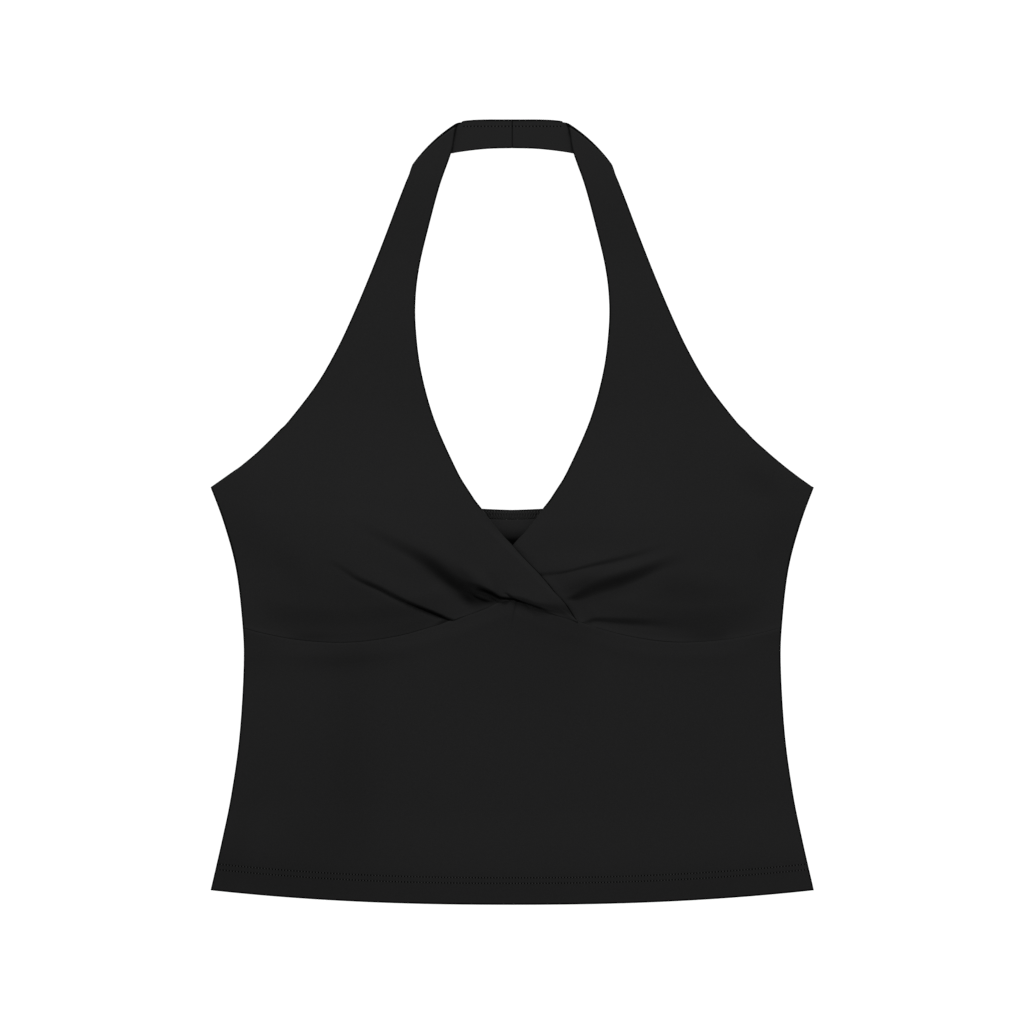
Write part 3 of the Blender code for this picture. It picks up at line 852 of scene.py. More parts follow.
@dataclass
class LeftFront(Front):
    """The left front, whose inner end lies under the right one."""

    name: str = "left_front_cloth"
    inner_edge: Table = (
        (203, 0), (222, -4), (239.8, 0.5), (244.4, 4.8), (247.1, 7.6), (251.1, 10.8), (256.4, 15.1),
        (261.8, 19), (264.4, 20.8), (267.1, 23), (269.8, 25.1), (277, 29.75),
    )
    ends_under: float = 14.0
    # painted shade beside the right front's edge, at each height, and its width
    painted_contact_shade: Table = ((226.0, 0.0), (235.0, 0.25), (240.0, 0.3), (246.0, 0.0))
    contact_wide: float = 1.4
    beside_rise: Table = ((190.0, 0.5), (214.0, 0.5), (219.0, 0.0))
    beside_wide: float = 3.5
    gathers: Table = (
        (184.3, 115, 174.7, 60), (206, 110, 197, 45), (230, 108, 218, 30), (254, 106, 236, 14),
        (278, 100, 254, 0),
    )
    sections: Table = (
        (200.5, 278, 100, 254, 0, 203), (188, 287, 97.5, 265, -4, 222), (176, 296.6, 94.8, 276, 1.2, 240.4),
        (168, 303.6, 93.2, 282.5, 11.9, 251.4), (161, 309.9, 92.2, 289, 19.7, 263.3),
    )
    creases: tuple[Crease, ...] = (
        crease(
            (6, 216.8, 0.35, 0.2, 7, 2.5, 1.4, 0.1, 0.8), (19.4, 219.9, 0.35, 0.15, 7, 2.5, 1.6, 0.2, 0.8),
            (31, 221.1, 0.5, 0.1, 9, 2.5, 1.6, 0.09, 0.9), (39.8, 222.8, 0.5, 0.1, 9, 2.5, 1.8, 0.07, 1),
            (49.2, 225.2, 0.45, 0.15, 8, 2.5, 2.4, 0.16, 1.3),
            (58.5, 227.3, 0.3, 0.15, 7, 2.5, 3, 0.33, 1.6), (67.8, 229.4, 0.2, 0.1, 7, 3, 3.2, 0.35, 1.9),
            (77.2, 231.7, 0.15, 0.1, 8, 3.5, 4, 0.28, 2), (86.5, 234.4, 0.1, 0.05, 8, 4, 5, 0.17, 2.2),
            (97, 237.6, 0.05, 0, 8, 4, 5, 0.06, 2.4), (108, 240.6, 0, 0, 8, 4, 6, 0, 2.4),
        ),
        crease(
            (34.5, 203.5, 0, 0, 8, 4, 2.4, 0, 1.2), (39, 204.2, 0.4, 0.4, 12, 6, 4, 0.16, 1.2),
            (43, 205.4, 0.9, 0.9, 12, 9, 6, 0.25, 2.4), (51.8, 209.5, 1.5, 1.3, 12, 10, 10, 0.2, 4),
            (61.8, 213.5, 1.8, 1.5, 12, 11, 12, 0.28, 4.2), (71.8, 216.7, 1.9, 1.5, 11, 11, 11, 0.28, 4.2),
            (81.8, 220.1, 1.7, 1.4, 10, 10, 10, 0.18, 4), (91.8, 224, 1.3, 1, 10, 10, 9, 0.07, 4),
            (101.8, 227.8, 0.6, 0.5, 10, 10, 9), (116, 232, 0, 0, 10, 10, 9),
        ),
        crease(
            (47.5, 187.6, 0.4, 0.3, 8, 4, 3, 0, 1.5), (51.5, 188.3, 0.6, 0.6, 9, 4, 4, 0.25, 1.5),
            (56, 189.4, 0.8, 0.7, 9, 4, 5, 0.14, 2.2), (65, 188.9, 0.9, 0.9, 9, 4.5, 6, 0.1, 2.6),
            (78, 188.4, 0.9, 0.9, 9, 5, 6.5, 0.1, 2.8), (91.8, 187.8, 0.5, 0.5, 10, 5, 7, 0.06, 3),
            (106, 186.8, 0.2, 0.15, 11, 6, 9, 0.04, 4), (125, 185, 0, 0, 13, 6, 12),
        ),
    )
    swells: tuple[Patch, ...] = rows_of(Patch, (124, 215, 0.6, 26, 11, -4), (38, 239, -0.4, 26, 11, 12))
    seam_shades: Table = ((112.0, 0.0), (124.0, 0.12), (138.0, 0.16), (146.0, 0.0))
    # soft patches of painted shade
    shades: tuple[Patch, ...] = rows_of(
        Patch,
        (132, 184, 0.14, 18, 8, 4), (112, 212, 0.09, 26, 8, -6), (68, 209, 0.17, 18, 4.5, 18),
        (47, 213.5, 0.3, 12, 4.5, 20), (40, 207, 0.08, 7, 3.5, 20), (122, 295, 0.05, 30, 36, 20),
        (165, 283, 0.12, 16, 9, -38),
    )

    def own_rise(self, across: Field, up: Field) -> Field:
        """Returns how far the front stands up. Its creases end under the right front."""
        past_edge = across - read(CROSSING_EDGE, up)
        shown = 1.0 - smooth(-past_edge / self.ends_under)
        raised = self.lie.dome(self.side, across, up) + shown * self.creased(across, up)
        raised = raised + shown * patches_sum(self.swells, across, up)
        beside = bump(np.maximum(past_edge, 0.0) * SLANT, self.beside_wide)
        raised = raised + shown * read(self.beside_rise, up) * beside
        return higher(raised, 0.0, self.lie.rounding) + self.lie.crossing(across, up)

    def shade(self, across: Field, up: Field) -> Field:
        """Returns the shade painted on the front, in its creases and beside the right front's edge."""
        beside = (across - read(CROSSING_EDGE, up)) * SLANT
        return super().shade(across, up) + read(self.painted_contact_shade, up) * bump(beside, self.contact_wide)


@dataclass
class RightFront(Front):
    """The right front, which crosses over the left one."""

    side: Side = Side.RIGHT
    name: str = "right_front_cloth"
    seam_radius: float = 0.15
    thin_edge: float = 0.5
    inner_edge: Table = CROSSING_EDGE
    seam_shades: Table = (
        (-154, 0), (-142, 0.12), (-110, 0.16), (-60, 0.2), (-50, 0.1), (-44, 0),
    )
    cover_ease: float = 36.0
    knot_step: float = 5.0
    cover_past: float = 3.0
    cover_fade: float = 30.0
    crease_room: float = 1.1
    edge_room: float = 0.2  # share of that room at its crossing edge, and how far in it is whole
    edge_ease: float = 20.0
    tip_ease: float = 12.0  # its tip lies down onto the seam, over this height and from here on
    tip_from: float = 16.0
    tip_wide: float = 16.0
    swells: tuple[Patch, ...] = rows_of(Patch, (8, 208.5, 0.75, 26, 12, -30))
    knot_roll_wide: float = 14.0
    hidden_places: Table = ((203.0, 0.0), (222.0, -4.0), (240.4, 1.2))
    gathers: Table = (
        (184.3, -115, 174.7, -50), (212, -106, 214, -34), (234, -102, 233, -18), (256, -97, 249, 0),
        (278, -84, 264, 43.9),
    )
    sections: Table = (
        (-201.1, 278, -84, 264, 43.9, 188.8), (-191.3, 284.9, -84.7, 269.3, 35.6, 201.8),
        (-186.1, 288.6, -85.3, 271.9, 28, 210.1), (-181.2, 292, -86, 274.5, 18.9, 220),
        (-172, 299.6, -87.4, 279.8, -0.1, 240), (-166.6, 304.6, -88.8, 284.3, -9.4, 249.8),
        (-161.2, 309.9, -90.2, 289.3, -19.9, 263.3),
    )
    creases: tuple[Crease, ...] = (
        crease(
            (-112, 258, 0, 0, 14, 4, 8, 0, 5), (-96, 249.5, 0.2, 0.1, 14, 5, 8, 0, 5),
            (-82, 242.4, 0.5, 0.3, 14, 6, 9, 0.05, 5), (-68.2, 235.3, 0.9, 0.8, 14, 6, 10, 0.12, 5),
            (-54.8, 227.3, 1.4, 1.5, 14, 7, 11, 0.34, 5), (-47, 221.2, 1.6, 2, 13, 9, 12, 0.42, 5.6),
            (-40, 216.1, 1.6, 2.1, 12, 9, 11, 0.38, 6), (-32, 212.4, 1.6, 2.1, 12, 9, 10, 0.16, 5),
            (-25, 211.3, 1.7, 2.2, 11, 8, 7, 0.12, 3), (-19.5, 210.1, 1.8, 2.3, 10, 5.5, 4, 0.9, 1.5),
            (-13.5, 207.6, 1.9, 2.4, 10, 4.5, 2, 1.2, 1.3), (-8.2, 204.7, 1.9, 2.1, 10, 3, 1.7, 1.2, 1.1),
            (-2.8, 204, 1.6, 1.3, 9, 2.2, 1.6, 1, 0.8), (2.5, 203.1, 1.4, 0.9, 9, 2, 1.5, 0.9, 0.8),
            (9, 201.2, 1.2, 0.5, 9, 2, 1.5, 0, 0.8),
        ),
        crease(
            (-124, 229.5, 0, 0, 11, 3, 5, 0, 1.6), (-113, 224, 0.3, 0.2, 11, 3, 4, 0.08, 2),
            (-104, 217.8, 0.5, 0.4, 11, 2.8, 3.4, 0.2, 1.8),
            (-96, 214.1, 0.8, 0.6, 11, 2.6, 2.8, 0.35, 1.8), (-88, 210.6, 0.9, 0.6, 11, 2.6, 2.6, 0.4, 1.5),
            (-80, 206.4, 1, 0.6, 11, 2.6, 2.4, 0.4, 1.3), (-71.5, 202.3, 1, 0.7, 11, 2.6, 2.2, 0.7, 1),
            (-64, 199, 1, 0.7, 11, 2.6, 2, 1, 1.1), (-54.8, 195.3, 1.1, 0.8, 10, 2.6, 2, 1.3, 1.1),
            (-47, 192, 1, 0.7, 9, 2.6, 2, 1.2, 1.1), (-41, 189.6, 0.8, 0.4, 9, 2.6, 2, 0.6, 0.9),
            (-34, 187.6, 0.4, 0.2, 9, 2.6, 2, 0, 0.8),
        ),
    )
    fine_creases: tuple[Crease, ...] = (
        crease(  # the foot of the trough
            (-34, 213, 0, 0, 3, 2.6, 2.6, 0.1, 2), (-29.5, 210.6, 0.1, 0.2, 3, 2.4, 2.4, 0.1, 1.8),
            (-26.8, 207.5, 0.2, 0.4, 3, 2.2, 2.2, 0.25, 1.6), (-23.6, 205, 0.3, 0.6, 3, 2.2, 2.2, 0.5, 1.4),
            (-18.8, 203.1, 0.3, 0.5, 3, 2.2, 2, 0.4, 1.4), (-14.5, 202.3, 0.2, 0.3, 3, 2.2, 2, 0.15, 1.2),
            (-9, 202.6, 0, 0, 3, 2.2, 2, 0, 1.2),
        ),
        crease(  # the short crease into the knot
            (-5.5, 208.6, 0, 0, 5, 2.2, 1.6, 0, 0.7), (-2.6, 206.7, 0.2, 0.4, 5, 2, 1.4, 0.45, 0.8),
            (0, 204.8, 0.4, 0.7, 5, 2, 1.3, 0.6, 0.8), (3, 202.8, 0.4, 0.7, 5, 2, 1.3, 0.9, 0.8),
            (6.5, 201.2, 0.2, 0.4, 5, 2, 1.3, 0.9, 0.7), (10, 199.6, 0, 0, 5, 2, 1.3, 0, 0.7),
        ),
        crease(  # where the knot rolls over the seam
            (-6, 204, 0, 0, 6, 1.5, 1.4, 0, 0.9), (0, 203.4, 0.3, 0.5, 6, 1.5, 1.4, 0.6, 0.8),
            (5, 202, 0.4, 0.5, 6, 1.5, 1.2, 0.9, 0.8), (10.5, 200.7, 0.4, 0.5, 6, 1.5, 1.2, 0.9, 0.75),
            (18.5, 197.9, 0.35, 0.4, 6, 1.5, 1.2, 0.8, 0.75), (23, 196.1, 0.2, 0.2, 6, 1.5, 1.2, 0.35, 0.7),
            (27, 194.5, 0.05, 0.05, 6, 1.5, 1.4, 0.05, 0.8), (32, 192.4, 0, 0, 6, 1.5, 1.4, 0, 0.8),
            (37, 190.8, 0.05, 0.05, 6, 1.5, 1.4, 0.15, 0.8), (41.5, 189.2, 0, 0, 6, 1.5, 1.4, 0.25, 0.8),
        ),
        crease(  # a short fold above it
            (21, 197.4, 0, 0, 4, 1.5, 1.6, 0, 1.2), (27, 195.6, 0.08, 0.08, 4, 1.5, 1.6, 0.12, 1.4),
            (36, 193.2, 0, 0, 4, 1.5, 1.6, 0, 1.4),
        ),
    )
    # soft patches of painted shade
    shades: tuple[Patch, ...] = rows_of(
        Patch,
        (-34, 208.4, 0.38, 14, 4, -36), (-29.5, 203.4, 0.4, 7, 3.6, -30), (-16.5, 201.4, 0.36, 7, 1.8, -6),
        (-45.3, 188.4, 0.62, 5, 1.3, 17), (-30, 217.6, 0.32, 9, 3.8, -38), (-56.5, 222.6, 0.14, 8, 4, -35),
        (-20, 202.6, 0.35, 9, 3.4, -12), (-45, 226, 0.1, 18, 4, -35), (-148, 226, 0.1, 22, 9, -50),
        (-141, 190, 0.08, 30, 10, 0), (-133, 178, 0.14, 14, 2.6, 2), (35, 196.6, 0.15, 8, 3.4, -30),
        (-100, 206, 0.06, 26, 11, -30),
    )

    def own_rise(self, across: Field, up: Field) -> Field:
        """Finds how far the front stands above what it rests on, which is the left one where they cross.

        Args:
            across, up: the places.

        Returns:
            The rise that is its own.
        """
        lie, off_seam = self.lie, self.pattern.above_seam(across, up)
        crossing = lie.crossing(across, up)
        raised = lie.dome(self.side, across, up) + crossing + self.creased(across, up)
        past_hidden = across - read(self.hidden_places, up)
        above_fold = smooth(self.creases[0].measure(across, up)[0] / self.knot_roll_wide + 0.5)
        ease = self.knot_step + (self.cover_ease - self.knot_step) * above_fold
        fade = 1 - smooth((up - self.pattern.back_top) / self.cover_fade)
        covers = smooth(1 + (past_hidden + self.cover_past) / ease) * fade
        left = lie.dome(Side.LEFT, across, up) + crossing + lie.lined + lie.crossing_gap
        down = (1 - smooth(off_seam / self.tip_ease)) * smooth((across - self.tip_from) / self.tip_wide)
        off_edge = smooth((read(CROSSING_EDGE, up) - across) * SLANT / self.edge_ease)
        off_edge = self.edge_room + (1 - self.edge_room) * off_edge
        ruffled = self.crease_room * smooth(past_hidden / lie.dome_off_seam) * (1 - down) * off_edge
        held = higher(higher(raised, 0.0, lie.rounding), covers * (left + ruffled), lie.rounding)
        swelled = smooth(off_seam / lie.off_knot(across)) * patches_sum(self.swells, across, up)
        return held + swelled + creases_shape(self.fine_creases, across, up)[0]


@dataclass
class Body:
    """A panel of the body, on rows from the hem to its top edge."""

    pattern: Pattern
    lie: Lie
    name: str = ""
    columns: int = 170
    centre_share: float = 0.25  # how much of the columns' spacing is even
    hem_steps: Row = (
        *(0.0, 0.08, 0.3, 0.7, 1.0, 1.5, 2.0, 3.2, 5.0, 8.0, 11.0),
        *(13.5, 15.0, 16.5, 18.5, 20.0, 22.0),
    )
    top_steps: Row = (
        *(0.0, 0.05, 0.15, 0.3, 0.6, 1.0, 1.5, 2.2, 3.1, 4.1, 5.2),
        *(6.3, 7.5, 9.0, 11.0, 13.5, 17.0),
    )
    middle_rows: int = 50
    hem_fade: float = 2.0
    side_radius: float = 0.5

    def top_up(self, across: Field) -> Field:
        """Returns how high the panel's top edge is."""
        return self.pattern.back_top_up(across)

    @staticmethod
    def row_up(hem: Field, top: Field, off_hem: float, weight: float, off_top: float) -> Field:
        """Returns how high a row of the grid is, some way from the hem to the top edge."""
        return (1 - weight) * (hem + off_hem) + weight * (top - off_top)

    def grid(self, top_end: float) -> Field:
        """Spaces places over the panel.

        Args:
            top_end: how high its top edge is at the side seam.

        Returns:
            Rows of places from the hem to the top edge, each from side to side.
        """
        even = np.linspace(-1, 1, self.columns)
        fractions = self.centre_share * even + (1 - self.centre_share) * even**3
        low, high = self.hem_steps[-1], self.top_steps[-1]
        rises = [(step, 0.0, 0.0) for step in self.hem_steps]
        rises += [(low, weight, high) for weight in np.linspace(0, 1, self.middle_rows + 2)[1:-1]]
        rises += [(0.0, 1.0, step) for step in self.top_steps[::-1]]
        rows = []
        for rise in rises:
            half = float(self.pattern.side_half(self.row_up(self.pattern.hem_lift, top_end, *rise)))
            sides = half - np.array(RIM_STEPS)
            across = np.concatenate([-sides, fractions[1:-1] * (half - RIM_STEPS[-1]), sides[::-1]])
            up = self.row_up(self.pattern.hem_up(across), self.top_up(across), *rise)
            rows.append(np.column_stack([across, up]))
        return np.array(rows)

    def measures(self, places: Field) -> tuple[Field, Field, Field]:
        """Measures the panel at its places.

        Args:
            places: the grid of places.

        Returns:
            How far each is above the hem and from its own end of the row, and the thickness there.
        """
        across = places[..., 0]
        off_hem = places[..., 1] - self.pattern.hem_up(across)
        sides = np.minimum(across - across[:, :1], across[:, -1:] - across)
        turned_up = 1 - smooth((off_hem - self.pattern.hem_deep) / self.hem_fade)
        return off_hem, sides, self.lie.cloth + (self.lie.hemmed - self.lie.cloth) * turned_up


@dataclass
class Midriff(Body):
    """The lower front, from the hem to the underbust seam."""

    name: str = "midriff_cloth"
    line_steps: int = 8
    ease: float = 70.0  # how far down it is drawn up, and how the rise falls off
    ease_curve: float = 1.6
    hem_ease: float = 45.0
    belly_rise: float = 1.2
    belly_off_side: float = 45.0
    belly_off_hem: float = 60.0
    belly_off_seam: float = 12.0
    lip: float = 9.0
    seam_radius: float = 0.3
    seam_tuck: float = 0.35  # how far it runs on under the fronts at their seam
    hem_groove: float = 0.02
    groove_wide: float = 0.8
    seam_rises: Table = (  # how far the knot draws the midriff up along their seam
        (-180, 0.4), (-80, 0.42), (-58, 0.52), (-46, 0.72), (-38, 1.08), (-30, 1.46), (-22, 1.66),
        (-14, 2.07), (-7, 2.95), (0, 3.7), (7, 3.94), (16, 3.71), (24, 3.36), (32, 3.3), (39, 3.05),
        (46, 2.08), (53, 0.88), (62, 0.45), (100, 0.22), (114, 0.28), (128, 0.4), (180, 0.4),
    )
    gathers: tuple[Crease, ...] = (
        crease(
            (-1.8, 182, 0, 0, 3, 1.4, 2.2, 0, 0.7), (-0.8, 186.4, 0.08, 0.1, 3, 1.4, 2, 0.05, 0.7),
            (0.8, 193.5, 0.15, 0.2, 3, 1.4, 1.6, 0.1, 0.7), (2.9, 203.5, 0.2, 0.3, 3, 1.4, 1.4, 0.25, 0.7),
        ),
        crease(
            (-8, 202.6, 0.03, 0.05, 4, 1.4, 1.6, 0.06, 0.7), (-9.4, 198, 0.02, 0.04, 4, 1.4, 2, 0.03, 0.7),
            (-11.5, 192, 0, 0, 4, 1.4, 2.4, 0, 0.7),
        ),
        crease(
            (6.6, 202.4, 0.3, 0.4, 3, 1.8, 1.5, 0.9, 0.8), (9, 199.6, 0.2, 0.25, 3, 1.8, 1.5, 0.4, 0.7),
            (12.5, 196, 0.08, 0.1, 3, 1.8, 1.8, 0.06, 0.7), (17, 192.6, 0, 0, 3, 1.8, 2, 0, 0.7),
        ),
    )
    # soft patches of painted shade
    shades: tuple[Patch, ...] = rows_of(
        Patch,
        (-109, 105, 0.07, 70, 15, 90), (-150, 16, 0.13, 60, 17, -6), (-185, 40, 0.08, 40, 10, 70),
        (0, 8, 0.06, 150, 12, 0), (140, 14, 0.06, 50, 12, 5), (-175, 162, 0.1, 14, 9, 0),
        (-110, 164, 0.17, 34, 8, 4), (110, 166, 0.05, 40, 8, -2), (-120, 70, 0.06, 50, 45, 0),
        (-128, 45, 0.06, 40, 14, 0), (46, 182, 0.1, 22, 7.5, -18), (13.5, 194.3, 0.08, 15, 3.6, -22),
        (8, 198.2, 0.14, 5, 1.6, -20),
    )
    roll_rise: float = 0.14  # how far it rolls up beside the seam, and the widths near it and away
    roll_near: float = 0.8
    roll_far: float = 6.0

    @cached_property
    def drawn_line(self) -> Field:
        """How far the seam is drawn up, as a dense line."""
        return curve_through(self.seam_rises, self.line_steps)

    def top_up(self, across: Field) -> Field:
        """Returns how high the panel runs, a little way under the fronts."""
        return self.pattern.seam_up(across) + self.seam_tuck

    def top_rise(self, across: Field, up: Field) -> Field:
        """Finds how high the midriff's top face lies.

        Args:
            across, up: the places.

        Returns:
            Its rise on the back and over both hems, drawn up to the fronts at their seam.
        """
        lie, pattern = self.lie, self.pattern
        off_hem = up - pattern.hem_up(across)
        on_hems = 2 * (lie.hemmed - lie.cloth) * (1 - smooth((off_hem - pattern.hem_deep) / self.hem_ease))
        below = np.maximum(pattern.seam_up(across) - up, 0.0)
        off_side = smooth((pattern.side_half(up) - np.abs(across)) / self.belly_off_side)
        belly = self.belly_rise * off_side * smooth(off_hem / self.belly_off_hem)
        belly = belly * smooth(below / self.belly_off_seam)
        drawn = read(self.drawn_line, across) * (1 - np.clip(below / self.ease, 0, 1)) ** self.ease_curve
        lip = (lie.lined - lie.cloth) * bump(below, self.lip)
        groove = sum(bump(off_hem - row, self.groove_wide) for row in HEM_ROWS) * self.hem_groove
        fine = creases_shape(self.gathers, across, up)[0] - groove
        fine = fine + self.roll_rise * (1 - bump(below, self.roll_near)) * bump(below, self.roll_far)
        raised = higher(belly + drawn + lip, 0.0, lie.rounding)
        return lie.cloth + lie.gap + lie.cloth + on_hems + raised + fine

    def build(self, finish: Material) -> Piece:
        """Builds the midriff.

        Args:
            finish: its material.

        Returns:
            The new piece.
        """
        places = self.grid(self.pattern.underbust[-1].up)
        across, up = places[..., 0], places[..., 1]
        off_hem, sides, thick = self.measures(places)
        middles, normals = laid(places, self.top_rise, 0.0)
        below = np.maximum(-self.pattern.above_seam(across, up) + self.seam_tuck, 0.0)
        rims = ((off_hem, self.lie.hemmed / 2), (sides, self.side_radius), (below, self.seam_radius))
        half = np.min([rounded(distance, 1.0, radius) * 2 for distance, radius in rims], axis=0) * thick / 2
        # painted shade of the gathers and soft patches, and along the hem and the sides
        shade = creases_shape(self.gathers, across, up)[1] + patches_sum(self.shades, across, up)
        depth = np.maximum(painted_rim_shade(np.minimum(off_hem, sides)), np.clip(shade, 0, 1))
        middles = middles - normals * (thick / 2)[..., None]
        return Shell(self.name, middles, normals, half, depth).build(finish)


@dataclass
class BackPanel(Body):
    """The back panel, flat on the surface, with its hem turned up on the inside."""

    name: str = "back_panel_cloth"
    columns: int = 110
    middle_rows: int = 40
    top_steps: Row = (
        *(0.0, 0.05, 0.15, 0.3, 0.6, 1.0, 2.2, 4.1, 6.2, 6.8, 7.5, 8.6, 10.5),
        *(12.5, 14.5, 16.0, 17.3, 18.5, 19.7, 20.9, 22.2, 24.0, 27.0),
    )
    vee_painted_shade: Table = (  # painted shade under the crossing, at each height
        (241.9, 1), (242.8, 0.97), (244.1, 0.76), (245.5, 0.54), (248.1, 0.28), (250.8, 0.07), (253.7, 0),
    )
    vee_half: float = 22.0
    vee_fade: float = 6.0
    turning: float = 0.3  # how much the cloth rises below the elastic, and from there on
    turning_long: float = 0.9
    turning_start: float = 0.7
    slope: float = 0.06
    slope_long: float = 13.0

    def build(self, finish: Material) -> Piece:
        """Builds the back.

        Args:
            finish: its material.

        Returns:
            The new piece.
        """
        places = self.grid(self.pattern.side_seam[-1].up)
        across, up = places[..., 0], places[..., 1]
        off_hem, sides, thick = self.measures(places)
        off_top = self.top_up(across) - up
        rim = np.minimum(np.minimum(off_hem, sides), off_top)
        off_band = off_top - self.lie.band_wide
        turned = self.turning * smooth(off_band / self.turning_long + self.turning_start)
        raised = turned + self.slope * np.clip(off_band, 0.0, self.slope_long)
        thick = thick + raised * (1 - smooth(off_band / self.slope_long - 1))
        middles = np.concatenate([places, (thick / 2)[..., None]], axis=-1)
        normals = np.broadcast_to(np.array([0.0, 0.0, 1.0]), middles.shape)
        # painted shade inside the V, under the crossing, fading out to the sides
        shade = read(self.vee_painted_shade, up) * (1 - smooth((np.abs(across) - self.vee_half) / self.vee_fade))
        half, depth = rounded(rim, 1.0, self.side_radius) * thick, np.maximum(painted_rim_shade(rim), shade)
        return Shell(self.name, middles, normals, half, depth).build(finish)


@dataclass
class ElasticBand:
    """The elastic band inside the top edge of the back."""

    pattern: Pattern
    lie: Lie
    name: str = "back_elastic_band_cover"
    thick: float = 0.2
    lies_at: float = 1.08
    # painted shade towards the band's sides, and how far from the middle it grows
    side_painted_shade: float = 0.55
    side_half: float = 21.0
    inset: float = 0.6
    columns: int = 240
    rows: int = 8

    def build(self, finish: Material) -> Piece:
        """Builds the band.

        Args:
            finish: its material.

        Returns:
            The new piece.
        """
        under_top = self.pattern.side_seam[-1].up - self.lie.band_wide
        half_width = float(self.pattern.side_half(under_top)) - self.inset
        across = spaced(2 * half_width, RIM_STEPS, np.linspace(0, 1, self.columns)[1:-1]) - half_width
        deep = self.lie.band_wide - self.inset
        down = (spaced(deep, RIM_STEPS, np.linspace(0, 1, self.rows)[1:-1]) + self.inset)[::-1]
        rows = [np.column_stack([across, self.pattern.back_top_up(across) - step]) for step in down]
        places = np.array(rows)
        middles, normals = laid(places, lambda a, u: np.full(a.shape, self.lies_at), self.thick)
        inset = (down - self.inset)[:, None]
        off_middle = np.abs(places[..., 0])
        rim = np.minimum(np.minimum(inset, deep - inset), half_width - off_middle)
        half = rounded(rim, self.thick, self.thick / 2)
        # painted shade, darker towards the band's sides
        sides = self.side_painted_shade * smooth(off_middle / self.side_half) ** 2
        return Shell(self.name, middles, normals, half, sides).build(finish)


@dataclass
class Thread:
    """Sewing thread, laid as short lengths that dive into the cloth at their ends."""

    name: str
    radius: float
    sides: int = 6
    points: list[Field] = field(default_factory=list)
    faces: list[tuple[int, ...]] = field(default_factory=list)

    def lay(self, path: Field) -> None:
        """Adds one length of thread.

        Args:
            path: the points that its middle follows.
        """
        sides, start = self.sides, len(self.points) * self.sides
        ahead = np.gradient(path, axis=0)
        ahead /= np.linalg.norm(ahead, axis=1, keepdims=True)
        aside = np.cross(ahead, (0.0, 0.0, 1.0))
        aside /= np.maximum(np.linalg.norm(aside, axis=1, keepdims=True), 1e-9)
        angles = np.linspace(0, 2 * math.pi, sides, endpoint=False)
        for middle, sideways, out in zip(path, aside, np.cross(aside, ahead)):
            ring = np.outer(np.cos(angles), sideways) + np.outer(np.sin(angles), out)
            self.points.append(middle + self.radius * ring)
        last = start + (len(path) - 1) * sides
        for ring in range(start, last, sides):
            for k in range(sides):
                a, b = ring + k, ring + (k + 1) % sides
                self.faces.append((a, a + sides, b + sides, b))
        self.faces.append(tuple(range(start, start + sides)))
        self.faces.append(tuple(range(last + sides - 1, last - 1, -1)))

    def build(self, finish: Material) -> Piece:
        """Returns all the lengths as one piece of a material."""
        return make_piece(self.name, np.concatenate(self.points), self.faces, finish)


@dataclass(frozen=True)
class StitchRow:
    """A row of straight stitches along a line on a cloth."""

    pitch: float = 2.05
    shown: float = 0.54  # share of the pitch that lies on the cloth
    proud: float = 0.01
    dive: float = 0.16
    steps: int = 5

    def sew(self, thread: Thread, line: Field, rise: Rise, face: Face = Face.TOP) -> None:
        """Sews along a line.

        Args:
            thread: what it is sewn with.
            line: the places that the row follows from right to left, close together.
            rise: the rise of the cloth's face.
            face: which face that is.
        """
        shares = np.linspace(0, 1, self.steps)
        arch = self.proud - (self.proud + self.dive) * (2 * shares - 1) ** 4
        for number in range(math.ceil(line[0, 0] / self.pitch), math.floor(line[-1, 0] / self.pitch)):
            across = (number + 0.5 + (shares - 0.5) * self.shown) * self.pitch
            up = read(line, across)
            thread.lay(np.column_stack([across, up, rise(across, up) + face.value * arch]))


@dataclass(frozen=True)
class LooperRow:
    """The looper threads that cover the elastic, from one needle row to the other and back."""

    pitch: float = 1.8
    inset: float = 1.3
    deep: float = 5.3
    most_lean: float = 2.4
    leans_within: float = 20.0  # how far from the centre the loops stop leaning further out
    sway: float = 0.42  # share of the pitch that a loop bows out by
    steps: int = 9
    proud: float = 0.12
    dive: float = 0.25
    cross: float = 0.06

    def sew(self, thread: Thread, half: float, pattern: Pattern, top: float) -> None:
        """Lays the loops along the back's top edge.

        Args:
            thread: what they are sewn with.
            half: how far they run to each side.
            pattern: the outline of the back.
            top: the rise of the elastic's top face.
        """
        shares = np.linspace(0, 1, self.steps)
        for number in range(int(2 * half / self.pitch)):
            start = -half + (number + 0.5) * self.pitch
            lean = -self.most_lean * max(-1.0, min(1.0, start / self.leans_within))
            for way in (1, -1):
                sway = way * self.pitch * self.sway * np.sin(math.pi * shares)
                across = start + sway + lean * (shares - 0.5)
                up = pattern.back_top_up(across) - (self.inset + self.deep * shares)
                arch = self.proud - self.dive * (2 * shares - 1) ** 6
                arch = arch + self.cross * way * np.sin(2 * math.pi * shares)
                thread.lay(np.column_stack([across, up, top + arch]))


def operator(operation: str, swapped: bool = False) -> Callable[..., "Value"]:
    """Makes an operator of a value.

    Args:
        operation: the Math node's operation.
        swapped: whether the value comes last.

    Returns:
        The method, which adds the node to the value's material.
    """

    def method(value: "Value", *others: "Value | float") -> "Value":
        """Returns the outcome of one Math node on this value and others."""
        return value.recipe.maths(operation, *((*others, value) if swapped else (value, *others)))

    return method


